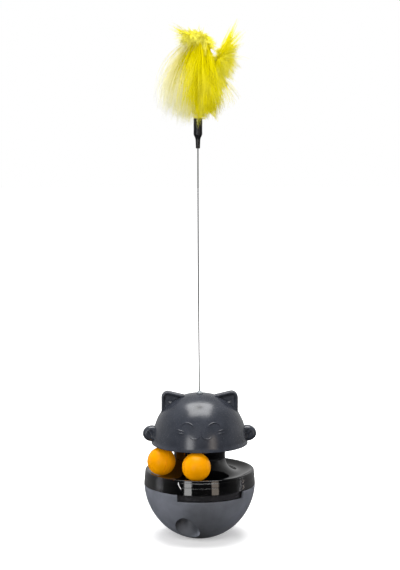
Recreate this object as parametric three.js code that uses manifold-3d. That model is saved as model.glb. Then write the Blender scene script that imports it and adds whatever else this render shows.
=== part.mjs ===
// Wobble cat toy. A weighted, round-bottomed bowl rights itself and drops treats from a chute in its side.
// A tray on the bowl's rim holds two balls in a ring track, a neck carries a cat's head over the track, and
// a steel wire in the top of the head holds a tuft of feathers.
// Millimetres, +Z up. The origin is on the ground, in the middle of the bowl's flat foot, and the face looks
// along -Y. An azimuth is in degrees from the front, positive towards +X.

import * as THREE from 'three';
import { mergeVertices } from 'three/addons/utils/BufferGeometryUtils.js';
import Module from 'manifold-3d';

const wasm = await Module();
wasm.setup();

// Clearances

const fit = 0.3; // between pieces that rest or nest on each other
const turningFit = 0.5; // round a piece that turns in the bowl
const weightFit = 0.6; // round the weight
const through = 1; // how far a cut runs past what it cuts

// Bowl

const bowlRadius = 58.2; // at its widest, outside
const bowlHalfHeight = 61.9; // of the ellipse that its outside follows
const footRadius = 9.2; // the flat spot it stands on
const bowlRimHeight = 57.3;
const bowlWall = 2;
const bowlFloor = 2;
const notchLeft = -25.1; // degrees, the notch in the rim
const notchRight = 49.3;
const notchDepth = 7.3;

// Treat outlet: an upright chute through the round underside

const chuteRadius = 12.65;
const chuteInset = 19.6; // from the bowl's outside, at its widest, to the chute's axis
const chuteAzimuth = -20;
const chuteWall = 1.8;

// Counterweight and its screw

const weightTop = 17;
const weightBossRadius = 4.5;
const weightBossTop = 9;
const weightWeb = 3; // steel under the screw's head
const weightScrewShank = 1.4;
const weightScrewHead = 3.8;
const weightScrewHeadHeight = 2.4;
const weightScrewBite = 5.5; // of the shank into the boss

// Treat floor, its posts and screws

const treatFloorHeight = 33.5; // underside
const treatFloorThickness = 2;
const treatHoleRadius = 8;
const postRadius = 3.5;
const postInset = 7.7; // from the bowl's inside, at the treat floor, to a post's axis
const postAngles = [90, 180, 270]; // degrees round from the chute
const pivotRadius = 5;
const pivotRise = 1.4; // of the pivot above the gate's floor

// Treat gate: the dish that the tray turns

const gateThickness = 1.6;
const gateGap = 0.6; // from the gate's rim to the tray's spigot
const twistTravel = 13.5; // degrees, from the outlet fully open to a third open

// Drive teeth under the tray's spigot

const toothCount = 3;
const toothHalfWidth = 5; // degrees
const toothDrop = 3.6;
const toothSideGap = 0.5; // degrees
const firstTooth = 60; // azimuth

// Tray and ball track

const trayHeight = 15.4; // from the bowl's rim to the tray's
const trayTaper = 1.3; // the tray's rim is this much narrower than its foot
const trayWall = 2;
const trayRimRound = 0.8;
const trayStepDrop = 10.2; // from the tray's rim to the shadow groove
const trayStepDepth = 0.4;
const trayStepHalfHeight = 0.4;
const spigotDepth = 8;
const spigotWall = 2;
const tabDrop = 5.5; // of the tab below the bowl's rim
const tabStepDrop = 4.7; // of the tab's right end
const tabStepAzimuth = 26.5;
const tabInset = 1.1; // of its face from the bowl's outside
const tabSideGap = 0.6; // degrees
const trackInset = 13.9; // from the outside of the tray's rim to the middle of the track
const trackDip = 3.4; // of the track's floor below the tray's rim
const trackOuterArc = 20;
const coveArc = 16.1; // from the middle of the track in to the neck
const flangeReach = 11.8; // of the flange, inwards from the neck's outside
const flangeThickness = 2;

// Balls

const ballRadius = 14.7;
const ballWall = 1.5;
const ballLeftAzimuth = -69.2;
const ballFrontAzimuth = -6;
const seamGap = 0.3;
const seamLip = 1; // thickness of the inner lip that lines the halves up
const seamLipRise = 1.5;
const seamLipRoot = 3;
const seamTilt = 78; // degrees, how far each ball's seam is tipped from level

// Neck

const neckWall = 2;
const neckPlate = 2;
const neckTopAboveDome = 35.2; // from the head's lower edge up to the plate
const neckBossRadius = 3.5;
const neckBossHeight = 10;
const neckScrewInset = 5.3; // from the neck's outside to the screws
const neckScrewAngles = [0, 120, 240];

// Head

const ballHeadroom = 1.1; // from the balls up to the head's lower edge
const domeRadius = 49.1;
const domeHeight = 52.5;
const domePower = 2.2; // of the superellipse that the dome follows
const domeWall = 2;
const domeSteps = 8; // facets from the lip to the top
const lipFlare = 1.6;
const lipHeight = 5.5;
const lipSteps = 3; // facets in the flare
const headPostRadius = 3.4;
const headPostDistance = 12;
const headScrewAngles = [60, 180, 300];

// Ears

const earSpan = 39.8; // from the middle to the ear's outer side
const earTop = 55; // above the head's lower edge
const earRound = 6.6;
const earSlope = 13.5; // degrees, of the ear's top side
const earRootIn = 15.5; // where the top side meets the dome
const earSink = 8; // of the ear into the dome
const earFront = 5.4; // from the middle plane to the front face
const earBack = 4.3;
const earRim = 1.8;
const earRecess = 3.6;

// Paws

const pawSpan = 59.2; // from the middle to the paw's outer side
const pawRise = 9.9; // of the paw's middle above the head's lower edge
const pawHalfWidth = 9.4;
const pawHalfHeight = 8.1;
const pawHalfDepth = 5.6;
const pawEdge = 2.6; // rounding of the paw's edge
const toeCount = 2; // grooves
const toeSpacing = 3.6;
const toeLength = 6.5;
const toeWidth = 0.9;
const toeDepth = 0.6;
const toeShift = 1.6; // of the grooves from the paw's middle to its outer edge
const toeAngle = 56; // degrees from level

// Raised face, measured from the middle and from the head's lower edge

const beadWidth = 1;
const beadHeight = 0.5;
const eyeSpacing = 13.8;
const eyeHeight = 24.2; // centre of the arc
const eyeRadius = 7;
const eyeSweep = 66; // degrees to each side of the arc's top
const mouthSpacing = 6.5;
const mouthHeight = 20.4;
const mouthRadius = 6.3;
const mouthFrom = -6; // degrees, at the middle
const mouthTo = -140; // degrees, at the corner
const philtrumLength = 2.2;
const whiskerInner = 17.6;
const whiskerLength = 6.8;
const whiskerHeights = [19.7, 22.5];
const whiskerTilts = [-2, 6]; // degrees

// Screws through the tray's flange, the neck's plate and the treat floor

const screwShank = 1.2;
const screwHead = 2.6;
const screwHeadHeight = 2;
const screwBite = 8; // of the shank into its boss
const tipRoom = 1.2; // in the boss's hole, past the screw's tip
const tipShare = 0.5; // of the shank's radius, at its tip
const crownShare = 0.72; // of the head's radius, at its flat top
const edgeShare = 0.5; // of the head's height, up its upright side

// Wand

const socketRadius = 2.9;
const socketWall = 1.9;
const socketDepth = 12.5;
const plugHeadRadius = 3.5;
const plugFlange = 1.1; // thickness of the plug's flange
const plugNubRadius = 2; // of the nub on the flange, round the wire
const plugHeadHeight = 2.3; // flange and nub
const plugHeadRound = 0.5;
const plugStemDepth = 11.5;
const wireRadius = 0.6;
const wireSeat = 9.5; // of the wire in the plug
const wireLength = 252; // from the plug's top to the sleeve
const wireLean = 1.7; // sideways, of the wire's top
const ferruleLength = 30.6;
const ferruleTopRadius = 4.5;
const ferruleShoulder = 14.1; // from the sleeve's lower end to its widest
const ferruleTaper = 4.2;
const ferruleWaistRadius = 2.55;
const ferruleLowRadius = 2.1;
const ferruleSeat = 8; // of the wire in the sleeve

// Feather tuft: plumes that cup the wand's axis, like petals. Each has its way out, its share of the circle,
// and its tip and bow from the sleeve's top.

const plumeRoot = 2.4; // from the wand's axis to a plume's quill
const plumeBase = 1.2; // half thickness at the quill
const plumeVane = 1; // thickness of the barbs on the quill
const plumeSkew = 0.5; // below 1, a plume is fullest near its quill
const plumeBluntness = 0.7; // below 1, its ends are blunter
const plumeRows = 8;
const plumeSides = 10;
const plumeNames = ['left', 'front', 'right', 'back_right', 'back_left'];
const plumeAzimuths = [-90, 0, 90, 154, -154];
const plumeShares = [76, 104, 76, 52, 52]; // degrees of the circle
const plumeLeans = [13, 6, 36, 14, 9]; // of a tip from the wand's axis
const plumeRises = [82, 78, 96, 76, 82]; // of a tip above the sleeve
const plumeBows = [20, 12, 16, 13, 15]; // outwards, of a quill's middle
const plumeDepths = [19, 14, 18, 14, 14]; // half sizes at a plume's fullest
const plumeWidths = [16, 18, 16, 14, 14];

// Facets round a full turn

const bigFacets = 36;
const middleFacets = 24;
const smallFacets = 10;
const wandFacets = 16;
const ballFacets = 16;

// Materials

const finish = (color, roughness, metalness = 0) =>
  new THREE.MeshStandardMaterial({ color, roughness, metalness });
const satinPlastic = finish(0x52555a, 0.5);
const glossPlastic = finish(0x4d5057, 0.18);
const innerPlastic = finish(0x45474b, 0.55);
const smokedPlastic = finish(0x2a2729, 0.12);
const ballPlastic = finish(0xeda403, 0.35);
const steel = finish(0x8e9094, 0.35, 1);
const clearSilicone = finish(0xb4b9bd, 0.4);
const blackSleeve = finish(0x17171a, 0.45);
const feather = finish(0xe4d020, 0.9);

// Geometry helpers

const radians = THREE.MathUtils.degToRad;

function point(radius, height) {
  return new THREE.Vector2(radius, height);
}

function direction(azimuth) {
  return point(Math.sin(radians(azimuth)), -Math.cos(radians(azimuth)));
}

function solidOf(geometry) {
  const bare = new THREE.BufferGeometry();
  bare.setAttribute('position', geometry.getAttribute('position'));
  bare.setIndex(geometry.getIndex());
  const merged = mergeVertices(bare, 1e-4);
  const corners = merged.getIndex().array;
  const faces = [];
  for (let i = 0; i < corners.length; i += 3) {
    const [a, b, c] = [corners[i], corners[i + 1], corners[i + 2]];
    if (a !== b && b !== c && c !== a) faces.push(a, b, c);
  }
  const mesh = new wasm.Mesh({
    numProp: 3,
    vertProperties: merged.getAttribute('position').array,
    triVerts: Uint32Array.from(faces),
  });
  return new wasm.Manifold(mesh);
}

function geometryOf(solid) {
  const mesh = solid.getMesh();
  const geometry = new THREE.BufferGeometry();
  geometry.setAttribute('position', new THREE.BufferAttribute(mesh.vertProperties, 3));
  geometry.setIndex(new THREE.BufferAttribute(mesh.triVerts, 1));
  const faceted = geometry.toNonIndexed();
  faceted.computeVertexNormals();
  return faceted;
}

// Turns a profile of radius and height about the Z axis. It starts and ends on the axis, or closes on itself.
function revolve(profile, facets) {
  const anticlockwise = THREE.ShapeUtils.area(profile) > 0;
  const ordered = anticlockwise ? profile : [...profile].reverse();
  const onAxis = ordered.some((p) => p.x === 0);
  const closed = onAxis ? ordered : [...ordered, ordered[0]];
  return solidOf(new THREE.LatheGeometry(closed, facets).rotateX(Math.PI / 2));
}

function arc(centre, radius, fromDegrees, toDegrees, steps) {
  return Array.from({ length: steps + 1 }, (_, i) => {
    const angle = radians(fromDegrees + ((toDegrees - fromDegrees) * i) / steps);
    return point(centre.x + radius * Math.cos(angle), centre.y + radius * Math.sin(angle));
  });
}

function cylinder(radius, bottom, top, facets = smallFacets) {
  const height = top - bottom;
  const shaft = new THREE.CylinderGeometry(radius, radius, height, facets);
  return solidOf(shaft.rotateX(Math.PI / 2).translate(0, 0, bottom + height / 2));
}

function cone(lowRadius, highRadius, bottom, top, facets = smallFacets) {
  const height = top - bottom;
  const shaft = new THREE.CylinderGeometry(highRadius, lowRadius, height, facets);
  return solidOf(shaft.rotateX(Math.PI / 2).translate(0, 0, bottom + height / 2));
}

function around(solid, azimuth, distance) {
  const way = direction(azimuth);
  return solid.translate([way.x * distance, way.y * distance, 0]);
}

// A sector of a ring, between two azimuths
function sector(from, to, inner, outer, bottom, top, steps) {
  const shape = new THREE.Shape();
  shape.absarc(0, 0, outer, radians(from - 90), radians(to - 90), false);
  shape.absarc(0, 0, inner, radians(to - 90), radians(from - 90), true);
  const block = new THREE.ExtrudeGeometry(shape, {
    depth: top - bottom,
    bevelEnabled: false,
    curveSegments: steps,
  });
  return solidOf(block.translate(0, 0, bottom));
}

// An outline in the XZ plane, given thickness from y = -front to y = back
function upright(shape, front, back, options = {}) {
  const slab = new THREE.ExtrudeGeometry(shape, {
    depth: front + back,
    bevelEnabled: false,
    curveSegments: 6,
    ...options,
  });
  return solidOf(slab.rotateX(Math.PI / 2).translate(0, back, 0));
}

function joined(solids) {
  return solids.reduce((whole, piece) => whole.add(piece));
}

function mirrored(solid) {
  return solid.mirror([1, 0, 0]);
}

// Heights and radii that several pieces share

const bowlCentre = bowlHalfHeight * Math.sqrt(1 - (footRadius / bowlRadius) ** 2);
const bowlInsideRadius = bowlRadius - bowlWall;
const bowlInsideHalfHeight = bowlCentre - bowlFloor;

function ellipseRadius(radius, halfHeight, height) {
  return radius * Math.sqrt(1 - ((height - bowlCentre) / halfHeight) ** 2);
}

function bowlOuterAt(height) {
  return ellipseRadius(bowlRadius, bowlHalfHeight, height);
}

function bowlInnerAt(height, clearance) {
  return ellipseRadius(bowlInsideRadius - clearance, bowlInsideHalfHeight - clearance, height);
}

// Points on one of the bowl's ellipses, from one height to another
function bowlCurve(radius, halfHeight, from, to, steps) {
  const angleAt = (height) => Math.acos(THREE.MathUtils.clamp((bowlCentre - height) / halfHeight, -1, 1));
  const start = angleAt(from);
  const end = angleAt(to);
  return Array.from({ length: steps + 1 }, (_, i) => {
    const angle = start + ((end - start) * i) / steps;
    return point(radius * Math.sin(angle), bowlCentre - halfHeight * Math.cos(angle));
  });
}

function insideCurve(clearance, from, to, steps) {
  return bowlCurve(bowlInsideRadius - clearance, bowlInsideHalfHeight - clearance, from, to, steps);
}

const treatFloorTop = treatFloorHeight + treatFloorThickness;
const gateBottom = treatFloorTop + fit;
const gateFloorTop = gateBottom + gateThickness;
const chuteDistance = bowlRadius - chuteInset;
const postDistance = bowlInnerAt(treatFloorHeight, 0) - postInset;
const trayBottom = bowlRimHeight + fit;
const trayRimHeight = bowlRimHeight + trayHeight;
const trayFootRadius = bowlOuterAt(bowlRimHeight);
const trayRimRadius = trayFootRadius - trayTaper;
const spigotBottom = bowlRimHeight - spigotDepth;
const spigotRadius = bowlInnerAt(spigotBottom, turningFit);
const toothBottom = spigotBottom - toothDrop;
const gateTop = spigotBottom - gateGap;
const trackFloor = trayRimHeight - trackDip;
const trackRadius = trayRimRadius - trackInset;
const neckRadius = trackRadius - coveArc;
const flangeInnerRadius = neckRadius - flangeReach;
const neckScrewDistance = neckRadius - neckScrewInset;
const coveTop = trackFloor + coveArc;
const ballHeight = trackFloor + fit + ballRadius;
const neckBottom = coveTop + fit;
const domeBase = ballHeight + ballRadius + ballHeadroom;
const neckTop = domeBase + neckTopAboveDome;
const domeTop = domeBase + domeHeight;
const headPostBottom = neckTop + fit;
const toothAzimuths = Array.from({ length: toothCount }, (_, i) => firstTooth + (360 * i) / toothCount);
const postAzimuths = postAngles.map((angle) => chuteAzimuth + angle);

// Bowl

function makeBowl() {
  const outer = bowlCurve(bowlRadius, bowlHalfHeight, 0, bowlRimHeight, 9);
  const inner = insideCurve(0, bowlFloor, bowlRimHeight, 7).reverse();
  const whole = revolve([point(0, 0), ...outer, point(0, bowlRimHeight)], bigFacets);
  const hollow = [point(0, 0), ...outer, ...inner.slice(0, -1), point(0, bowlFloor)];
  const chuteTop = treatFloorHeight - fit;
  const tube = cylinder(chuteRadius + chuteWall, 0, chuteTop, middleFacets);
  const chute = around(tube, chuteAzimuth, chuteDistance);
  const post = cylinder(postRadius, 0, chuteTop);
  const posts = postAzimuths.map((azimuth) => around(post, azimuth, postDistance));
  const boss = cylinder(weightBossRadius, 0, weightBossTop);
  const fittings = joined([chute, boss, ...posts]).intersect(whole);
  const bore = cylinder(chuteRadius, -through, chuteTop + through, middleFacets);
  const postHole = cylinder(screwShank + fit, chuteTop - screwBite - tipRoom, chuteTop + through);
  const bossHoleFoot = weightBossTop - weightScrewBite - tipRoom;
  const notch = sector(
    notchLeft,
    notchRight,
    bowlInsideRadius - 2 * bowlWall,
    bowlRadius + bowlWall,
    bowlRimHeight - notchDepth,
    bowlRimHeight + through,
    8,
  );
  return revolve(hollow, bigFacets)
    .add(fittings)
    .subtract(around(bore, chuteAzimuth, chuteDistance))
    .subtract(joined(postAzimuths.map((azimuth) => around(postHole, azimuth, postDistance))))
    .subtract(cylinder(weightScrewShank + fit, bossHoleFoot, weightBossTop + through))
    .subtract(notch);
}

// Counterweight

function makeWeight() {
  const web = weightBossTop + fit;
  const headSeat = web + weightWeb;
  const under = insideCurve(weightFit, bowlFloor + weightFit, weightTop, 4).slice(1);
  const block = revolve([point(0, bowlFloor + weightFit), ...under, point(0, weightTop)], bigFacets);
  const chuteRoom = cylinder(chuteRadius + chuteWall + weightFit, 0, weightTop + through, middleFacets);
  return block
    .subtract(around(chuteRoom, chuteAzimuth, chuteDistance))
    .subtract(cylinder(weightBossRadius + fit, 0, web))
    .subtract(cylinder(weightScrewShank + fit, 0, weightTop + through))
    .subtract(cylinder(weightScrewHead + weightFit, headSeat, weightTop + through));
}

// A pan-head screw standing on its head's flat side at z = 0, its shank pointing down
function panScrew(shank, head, headHeight, length) {
  return revolve(
    [
      point(0, -length),
      point(shank * tipShare, -length),
      point(shank, shank - length),
      point(shank, 0),
      point(head, 0),
      point(head, headHeight * edgeShare),
      point(head * crownShare, headHeight),
      point(0, headHeight),
    ],
    smallFacets,
  );
}

// A countersunk screw with the flat of its head at z = 0
function sunkScrew(shank, head, length) {
  const coneDepth = head - shank;
  return revolve(
    [
      point(0, -length),
      point(shank * tipShare, -length),
      point(shank, shank - length),
      point(shank, -coneDepth),
      point(head, 0),
      point(0, 0),
    ],
    smallFacets,
  );
}

function makeWeightScrew() {
  const seat = weightBossTop + fit + weightWeb + fit;
  const length = seat - weightBossTop + weightScrewBite;
  const screw = panScrew(weightScrewShank, weightScrewHead, weightScrewHeadHeight, length);
  return screw.translate([0, 0, seat]);
}

// Treat floor

function makeTreatFloor() {
  const radius = bowlInnerAt(treatFloorHeight, fit);
  const pivotTop = gateFloorTop + pivotRise;
  const screwHole = cylinder(screwShank + fit, treatFloorHeight - through, treatFloorTop + through);
  const sinkDepth = screwHead - screwShank + fit;
  const sink = cone(screwShank + fit, screwHead + fit, treatFloorTop - sinkDepth, treatFloorTop);
  const hole = cylinder(treatHoleRadius, treatFloorHeight - through, treatFloorTop + through, middleFacets);
  return cylinder(radius, treatFloorHeight, treatFloorTop, bigFacets)
    .add(cylinder(pivotRadius, treatFloorHeight, pivotTop, middleFacets))
    .subtract(around(hole, chuteAzimuth, chuteDistance))
    .subtract(joined(postAzimuths.map((azimuth) => around(screwHole.add(sink), azimuth, postDistance))));
}

function makeFloorScrew(azimuth) {
  const screw = sunkScrew(screwShank, screwHead, treatFloorThickness + screwBite);
  return around(screw.translate([0, 0, treatFloorTop - fit / 2]), azimuth, postDistance);
}

// Treat gate

function makeGate() {
  const outer = insideCurve(turningFit, gateBottom, gateTop, 2);
  const inner = insideCurve(turningFit + gateThickness, gateFloorTop, gateTop, 2).reverse();
  const bore = pivotRadius + fit;
  const dish = revolve([point(bore, gateBottom), ...outer, ...inner, point(bore, gateFloorTop)], bigFacets);
  const window = cylinder(treatHoleRadius, gateBottom - through, gateFloorTop + through, middleFacets);
  const halfSlot = toothHalfWidth + toothSideGap;
  const slotInner = spigotRadius - spigotWall - gateThickness - fit;
  const slots = toothAzimuths.map((azimuth) =>
    sector(
      azimuth - halfSlot,
      azimuth + halfSlot,
      slotInner,
      bowlRadius,
      toothBottom - fit,
      gateTop + through,
      3,
    ),
  );
  return dish.subtract(around(window, chuteAzimuth, chuteDistance)).subtract(joined(slots));
}

// Tray, with the ball track on top and the spigot, teeth and tab below

function trayProfile() {
  const wallAt = (height) => {
    const share = (height - trayBottom) / (trayRimHeight - trayBottom);
    return trayFootRadius + (trayRimRadius - trayFootRadius) * share;
  };
  const step = trayRimHeight - trayStepDrop;
  const outerCentre = point(trackRadius, trackFloor + trackOuterArc);
  const coveCentre = point(trackRadius, coveTop);
  const rimAngle = THREE.MathUtils.RAD2DEG * Math.asin((trackOuterArc - trackDip) / trackOuterArc);
  const underArc = trackOuterArc + trayWall;
  const wallInner = trayRimRadius - trayWall;
  const underAngle = THREE.MathUtils.RAD2DEG * Math.acos((wallInner - trackRadius) / underArc);
  const flangeBottom = coveTop - flangeThickness;
  const underCove = coveArc + trayWall;
  const coveAngle = THREE.MathUtils.RAD2DEG * Math.asin(flangeThickness / underCove);
  const spigotInner = spigotRadius - spigotWall;
  return [
    point(trayFootRadius, trayBottom),
    point(wallAt(step - trayStepHalfHeight), step - trayStepHalfHeight),
    point(wallAt(step) - trayStepDepth, step - trayStepHalfHeight / 2),
    point(wallAt(step) - trayStepDepth, step + trayStepHalfHeight / 2),
    point(wallAt(step + trayStepHalfHeight), step + trayStepHalfHeight),
    ...arc(point(trayRimRadius - trayRimRound, trayRimHeight - trayRimRound), trayRimRound, 0, 90, 2),
    ...arc(outerCentre, trackOuterArc, -rimAngle, -90, 3),
    ...arc(coveCentre, coveArc, -90, -180, 6).slice(1),
    point(flangeInnerRadius, coveTop),
    point(flangeInnerRadius, flangeBottom),
    ...arc(coveCentre, underCove, coveAngle - 180, -90, 4),
    ...arc(outerCentre, underArc, -90, -underAngle, 2).slice(1),
    point(trayFootRadius - trayWall, trayBottom + trayWall),
    point(spigotInner, trayBottom + trayWall),
    point(spigotInner, spigotBottom),
    point(spigotRadius, spigotBottom),
    point(spigotRadius, trayBottom),
  ];
}

function makeTray() {
  const spigotInner = spigotRadius - spigotWall;
  const toothOuter = bowlInnerAt(toothBottom, turningFit);
  const teeth = toothAzimuths.map((azimuth) =>
    sector(
      azimuth - toothHalfWidth,
      azimuth + toothHalfWidth,
      spigotInner,
      toothOuter,
      toothBottom,
      spigotBottom + spigotWall,
      3,
    ),
  );
  const tabPart = (from, to, drop, steps) =>
    sector(
      from,
      to,
      spigotRadius - spigotWall / 2,
      bowlOuterAt(bowlRimHeight - tabDrop) - tabInset,
      bowlRimHeight - drop,
      trayBottom + trayWall / 2,
      steps,
    );
  const tabLeft = notchLeft + tabSideGap;
  const tabRight = notchRight - twistTravel - tabSideGap;
  const tab = tabPart(tabLeft, tabStepAzimuth, tabDrop, 6).add(tabPart(tabLeft, tabRight, tabStepDrop, 7));
  const screwHole = cylinder(screwShank + fit, coveTop - flangeThickness - through, coveTop + through);
  const holes = neckScrewAngles.map((azimuth) => around(screwHole, azimuth, neckScrewDistance));
  return revolve(trayProfile(), bigFacets).add(joined([tab, ...teeth])).subtract(joined(holes));
}

// Neck

function makeNeck() {
  const inner = neckRadius - neckWall;
  const plateBottom = neckTop - neckPlate;
  const column = revolve(
    [
      point(0, plateBottom),
      point(inner, plateBottom),
      point(inner, neckBottom),
      point(neckRadius, neckBottom),
      point(neckRadius, neckTop),
      point(0, neckTop),
    ],
    middleFacets,
  );
  const boss = cylinder(neckBossRadius, neckBottom, neckBottom + neckBossHeight);
  const bossHole = cylinder(screwShank + fit, neckBottom - through, neckBottom + screwBite + tipRoom);
  const plateHole = cylinder(screwShank + fit, plateBottom - through, neckTop + through);
  return column
    .add(joined(neckScrewAngles.map((azimuth) => around(boss, azimuth, neckScrewDistance))))
    .subtract(joined(neckScrewAngles.map((azimuth) => around(bossHole, azimuth, neckScrewDistance))))
    .subtract(joined(headScrewAngles.map((azimuth) => around(plateHole, azimuth, headPostDistance))));
}

// A pan-head screw driven upwards, its head under a plate whose underside is at the given height
function risingScrew(plateUnderside, plate, azimuth, distance) {
  const screw = panScrew(screwShank, screwHead, screwHeadHeight, plate + fit + fit + screwBite);
  return around(screw.mirror([0, 0, 1]).translate([0, 0, plateUnderside - fit]), azimuth, distance);
}

// Head

function domeRadiusAt(height, inset) {
  const share = Math.min(height / (domeHeight - inset), 1);
  const flare = lipFlare * Math.max(0, 1 - height / lipHeight) ** 2;
  return (domeRadius - inset) * (1 - share ** domePower) ** (1 / domePower) + flare;
}

function domeHeightAt(radius) {
  return domeHeight * (1 - (radius / domeRadius) ** domePower) ** (1 / domePower);
}

// The dome's profile, set in by a wall or out by a negative one
function domeCurve(inset) {
  const lip = Array.from({ length: lipSteps }, (_, i) => {
    const height = (lipHeight * i) / lipSteps;
    return point(domeRadiusAt(height, inset), domeBase + height);
  });
  const lowest = Math.asin((lipHeight / (domeHeight - inset)) ** (domePower / 2));
  const curve = Array.from({ length: domeSteps }, (_, i) => {
    const angle = lowest + ((Math.PI / 2 - lowest) * i) / domeSteps;
    const radius = (domeRadius - inset) * Math.cos(angle) ** (2 / domePower);
    const height = (domeHeight - inset) * Math.sin(angle) ** (2 / domePower);
    return point(radius, domeBase + height);
  });
  return [...lip, ...curve, point(0, domeTop - inset)];
}

function makeDome(inset) {
  return revolve([point(0, domeBase), ...domeCurve(inset)], bigFacets);
}

// The right ear's outline, in the XZ plane, made smaller all round by an inset
function earOutline(inset) {
  const round = earRound - inset;
  const centreX = earSpan - earRound;
  const centreZ = domeBase + earTop - earRound;
  const slope = radians(earSlope);
  const topX = centreX - round * Math.sin(slope);
  const topZ = centreZ + round * Math.cos(slope);
  const rootZ = topZ - (topX - earRootIn) * Math.tan(slope);
  const outerRootZ = domeBase + domeHeightAt(earSpan);
  const shape = new THREE.Shape();
  shape.moveTo(earRootIn + inset, rootZ - earSink);
  shape.lineTo(earSpan - inset - earSink, outerRootZ - earSink);
  shape.lineTo(earSpan - inset, outerRootZ);
  shape.absarc(centreX, centreZ, round, 0, Math.PI / 2 + slope, false);
  shape.lineTo(earRootIn + inset, rootZ);
  return shape;
}

function makeEar() {
  const recess = upright(earOutline(earRim), earFront + through, earRecess - earFront);
  return upright(earOutline(0), earFront, earBack).subtract(recess);
}

// The hollow behind the ear's recess, open to the inside of the dome
function makeEarCore() {
  return upright(earOutline(domeWall), earFront - earRecess - domeWall, earBack - domeWall);
}

function makePaw() {
  const centre = point(pawSpan - pawHalfWidth, domeBase + pawRise);
  const shape = new THREE.Shape();
  shape.absellipse(centre.x, centre.y, pawHalfWidth - pawEdge, pawHalfHeight - pawEdge, 0, 2 * Math.PI);
  const straight = pawHalfDepth - pawEdge;
  const body = upright(shape, straight, straight, {
    bevelEnabled: true,
    bevelThickness: pawEdge,
    bevelSize: pawEdge,
    bevelSegments: 2,
    curveSegments: 7,
  });
  const toes = Array.from({ length: toeCount }, (_, i) => {
    const offset = (i - (toeCount - 1) / 2) * toeSpacing;
    const groove = new THREE.BoxGeometry(toeLength, 2 * toeDepth, toeWidth);
    groove.translate(toeShift, 0, offset).rotateY(radians(-toeAngle));
    return solidOf(groove.translate(centre.x, -pawHalfDepth, centre.y));
  });
  return body.subtract(joined(toes));
}

// The beads of the face are prisms along Y, from the dome's front half forwards, cut to a larger dome
const beadStart = domeRadius / 3;
const beadEnd = domeRadius + through;

function beadArc(centreX, centreZ, radius, from, to) {
  const shape = new THREE.Shape();
  shape.absarc(centreX, centreZ, radius + beadWidth / 2, radians(from), radians(to), from > to);
  shape.absarc(centreX, centreZ, radius - beadWidth / 2, radians(to), radians(from), from < to);
  return upright(shape, beadEnd, -beadStart, { curveSegments: 5 });
}

function beadBar(fromX, toX, centreZ, width, tilt) {
  const bar = new THREE.BoxGeometry(toX - fromX, beadEnd - beadStart, width);
  bar.rotateY(radians(-tilt)).translate((fromX + toX) / 2, -(beadStart + beadEnd) / 2, centreZ);
  return solidOf(bar);
}

function makeFace() {
  const eye = beadArc(eyeSpacing, domeBase + eyeHeight, eyeRadius, 90 - eyeSweep, 90 + eyeSweep);
  const lip = beadArc(-mouthSpacing, domeBase + mouthHeight, mouthRadius, mouthFrom, mouthTo);
  const whiskers = whiskerHeights.map((height, i) =>
    beadBar(whiskerInner, whiskerInner + whiskerLength, domeBase + height, beadWidth, whiskerTilts[i]),
  );
  const philtrumMiddle = domeBase + mouthHeight - beadWidth + philtrumLength / 2;
  const philtrum = beadBar(-beadWidth / 2, beadWidth / 2, philtrumMiddle, philtrumLength, 0);
  const sides = [eye, mirrored(lip), ...whiskers];
  return joined([...sides, ...sides.map(mirrored), philtrum]).intersect(makeDome(-beadHeight));
}

function makeHead() {
  const ear = makeEar();
  const paw = makePaw();
  const core = makeEarCore();
  const outer = joined([makeDome(0), ear, mirrored(ear), paw, mirrored(paw), makeFace()]);
  const inner = makeDome(domeWall).add(core).add(mirrored(core));
  const lowerRoom = cylinder(domeRadiusAt(0, domeWall), domeBase - through, domeBase + fit, bigFacets);
  const posts = headScrewAngles.map((azimuth) =>
    around(cylinder(headPostRadius, headPostBottom, domeTop), azimuth, headPostDistance),
  );
  const socket = cylinder(socketRadius + socketWall, domeTop - socketDepth, domeTop);
  const fittings = joined([...posts, socket]).intersect(makeDome(domeWall / 2));
  const postHole = cylinder(
    screwShank + fit,
    headPostBottom - through,
    headPostBottom + screwBite + tipRoom,
  );
  return outer
    .subtract(inner)
    .subtract(lowerRoom)
    .add(fittings)
    .subtract(joined(headScrewAngles.map((azimuth) => around(postHole, azimuth, headPostDistance))))
    .subtract(cylinder(socketRadius, domeTop - socketDepth - through, domeTop + through));
}

// Balls: two half shells each, the lower one with a lip that lines them up

function ballUpperHalf() {
  const inside = ballRadius - ballWall;
  const outerStart = THREE.MathUtils.RAD2DEG * Math.asin(seamGap / 2 / ballRadius);
  const innerStart = THREE.MathUtils.RAD2DEG * Math.asin(seamGap / 2 / inside);
  const origin = point(0, 0);
  const outer = arc(origin, ballRadius, outerStart, 90, 5).slice(0, -1);
  const inner = arc(origin, inside, 90, innerStart, 3).slice(1);
  return revolve([point(0, inside), ...inner, ...outer, point(0, ballRadius)], ballFacets);
}

function ballLowerHalf() {
  const inside = ballRadius - ballWall;
  const outerEnd = THREE.MathUtils.RAD2DEG * Math.asin(seamGap / 2 / ballRadius);
  const innerEnd = THREE.MathUtils.RAD2DEG * Math.asin(seamLipRoot / inside);
  const origin = point(0, 0);
  const outer = arc(origin, ballRadius, -90, -outerEnd, 5).slice(1);
  const inner = arc(origin, inside, -innerEnd, -90, 3).slice(0, -1);
  const lipOuter = inside - fit;
  const lip = [
    point(lipOuter, -seamGap / 2),
    point(lipOuter - fit / 2, seamLipRise),
    point(lipOuter - seamLip, seamLipRise),
    point(lipOuter - seamLip, -seamLipRoot),
  ];
  return revolve([point(0, -ballRadius), ...outer, ...lip, ...inner, point(0, -inside)], ballFacets);
}

function placedBall(half, azimuth) {
  const tipped = half.rotate([seamTilt, 0, azimuth]);
  return around(tipped.translate([0, 0, ballHeight]), azimuth, trackRadius);
}

// Wand

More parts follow.
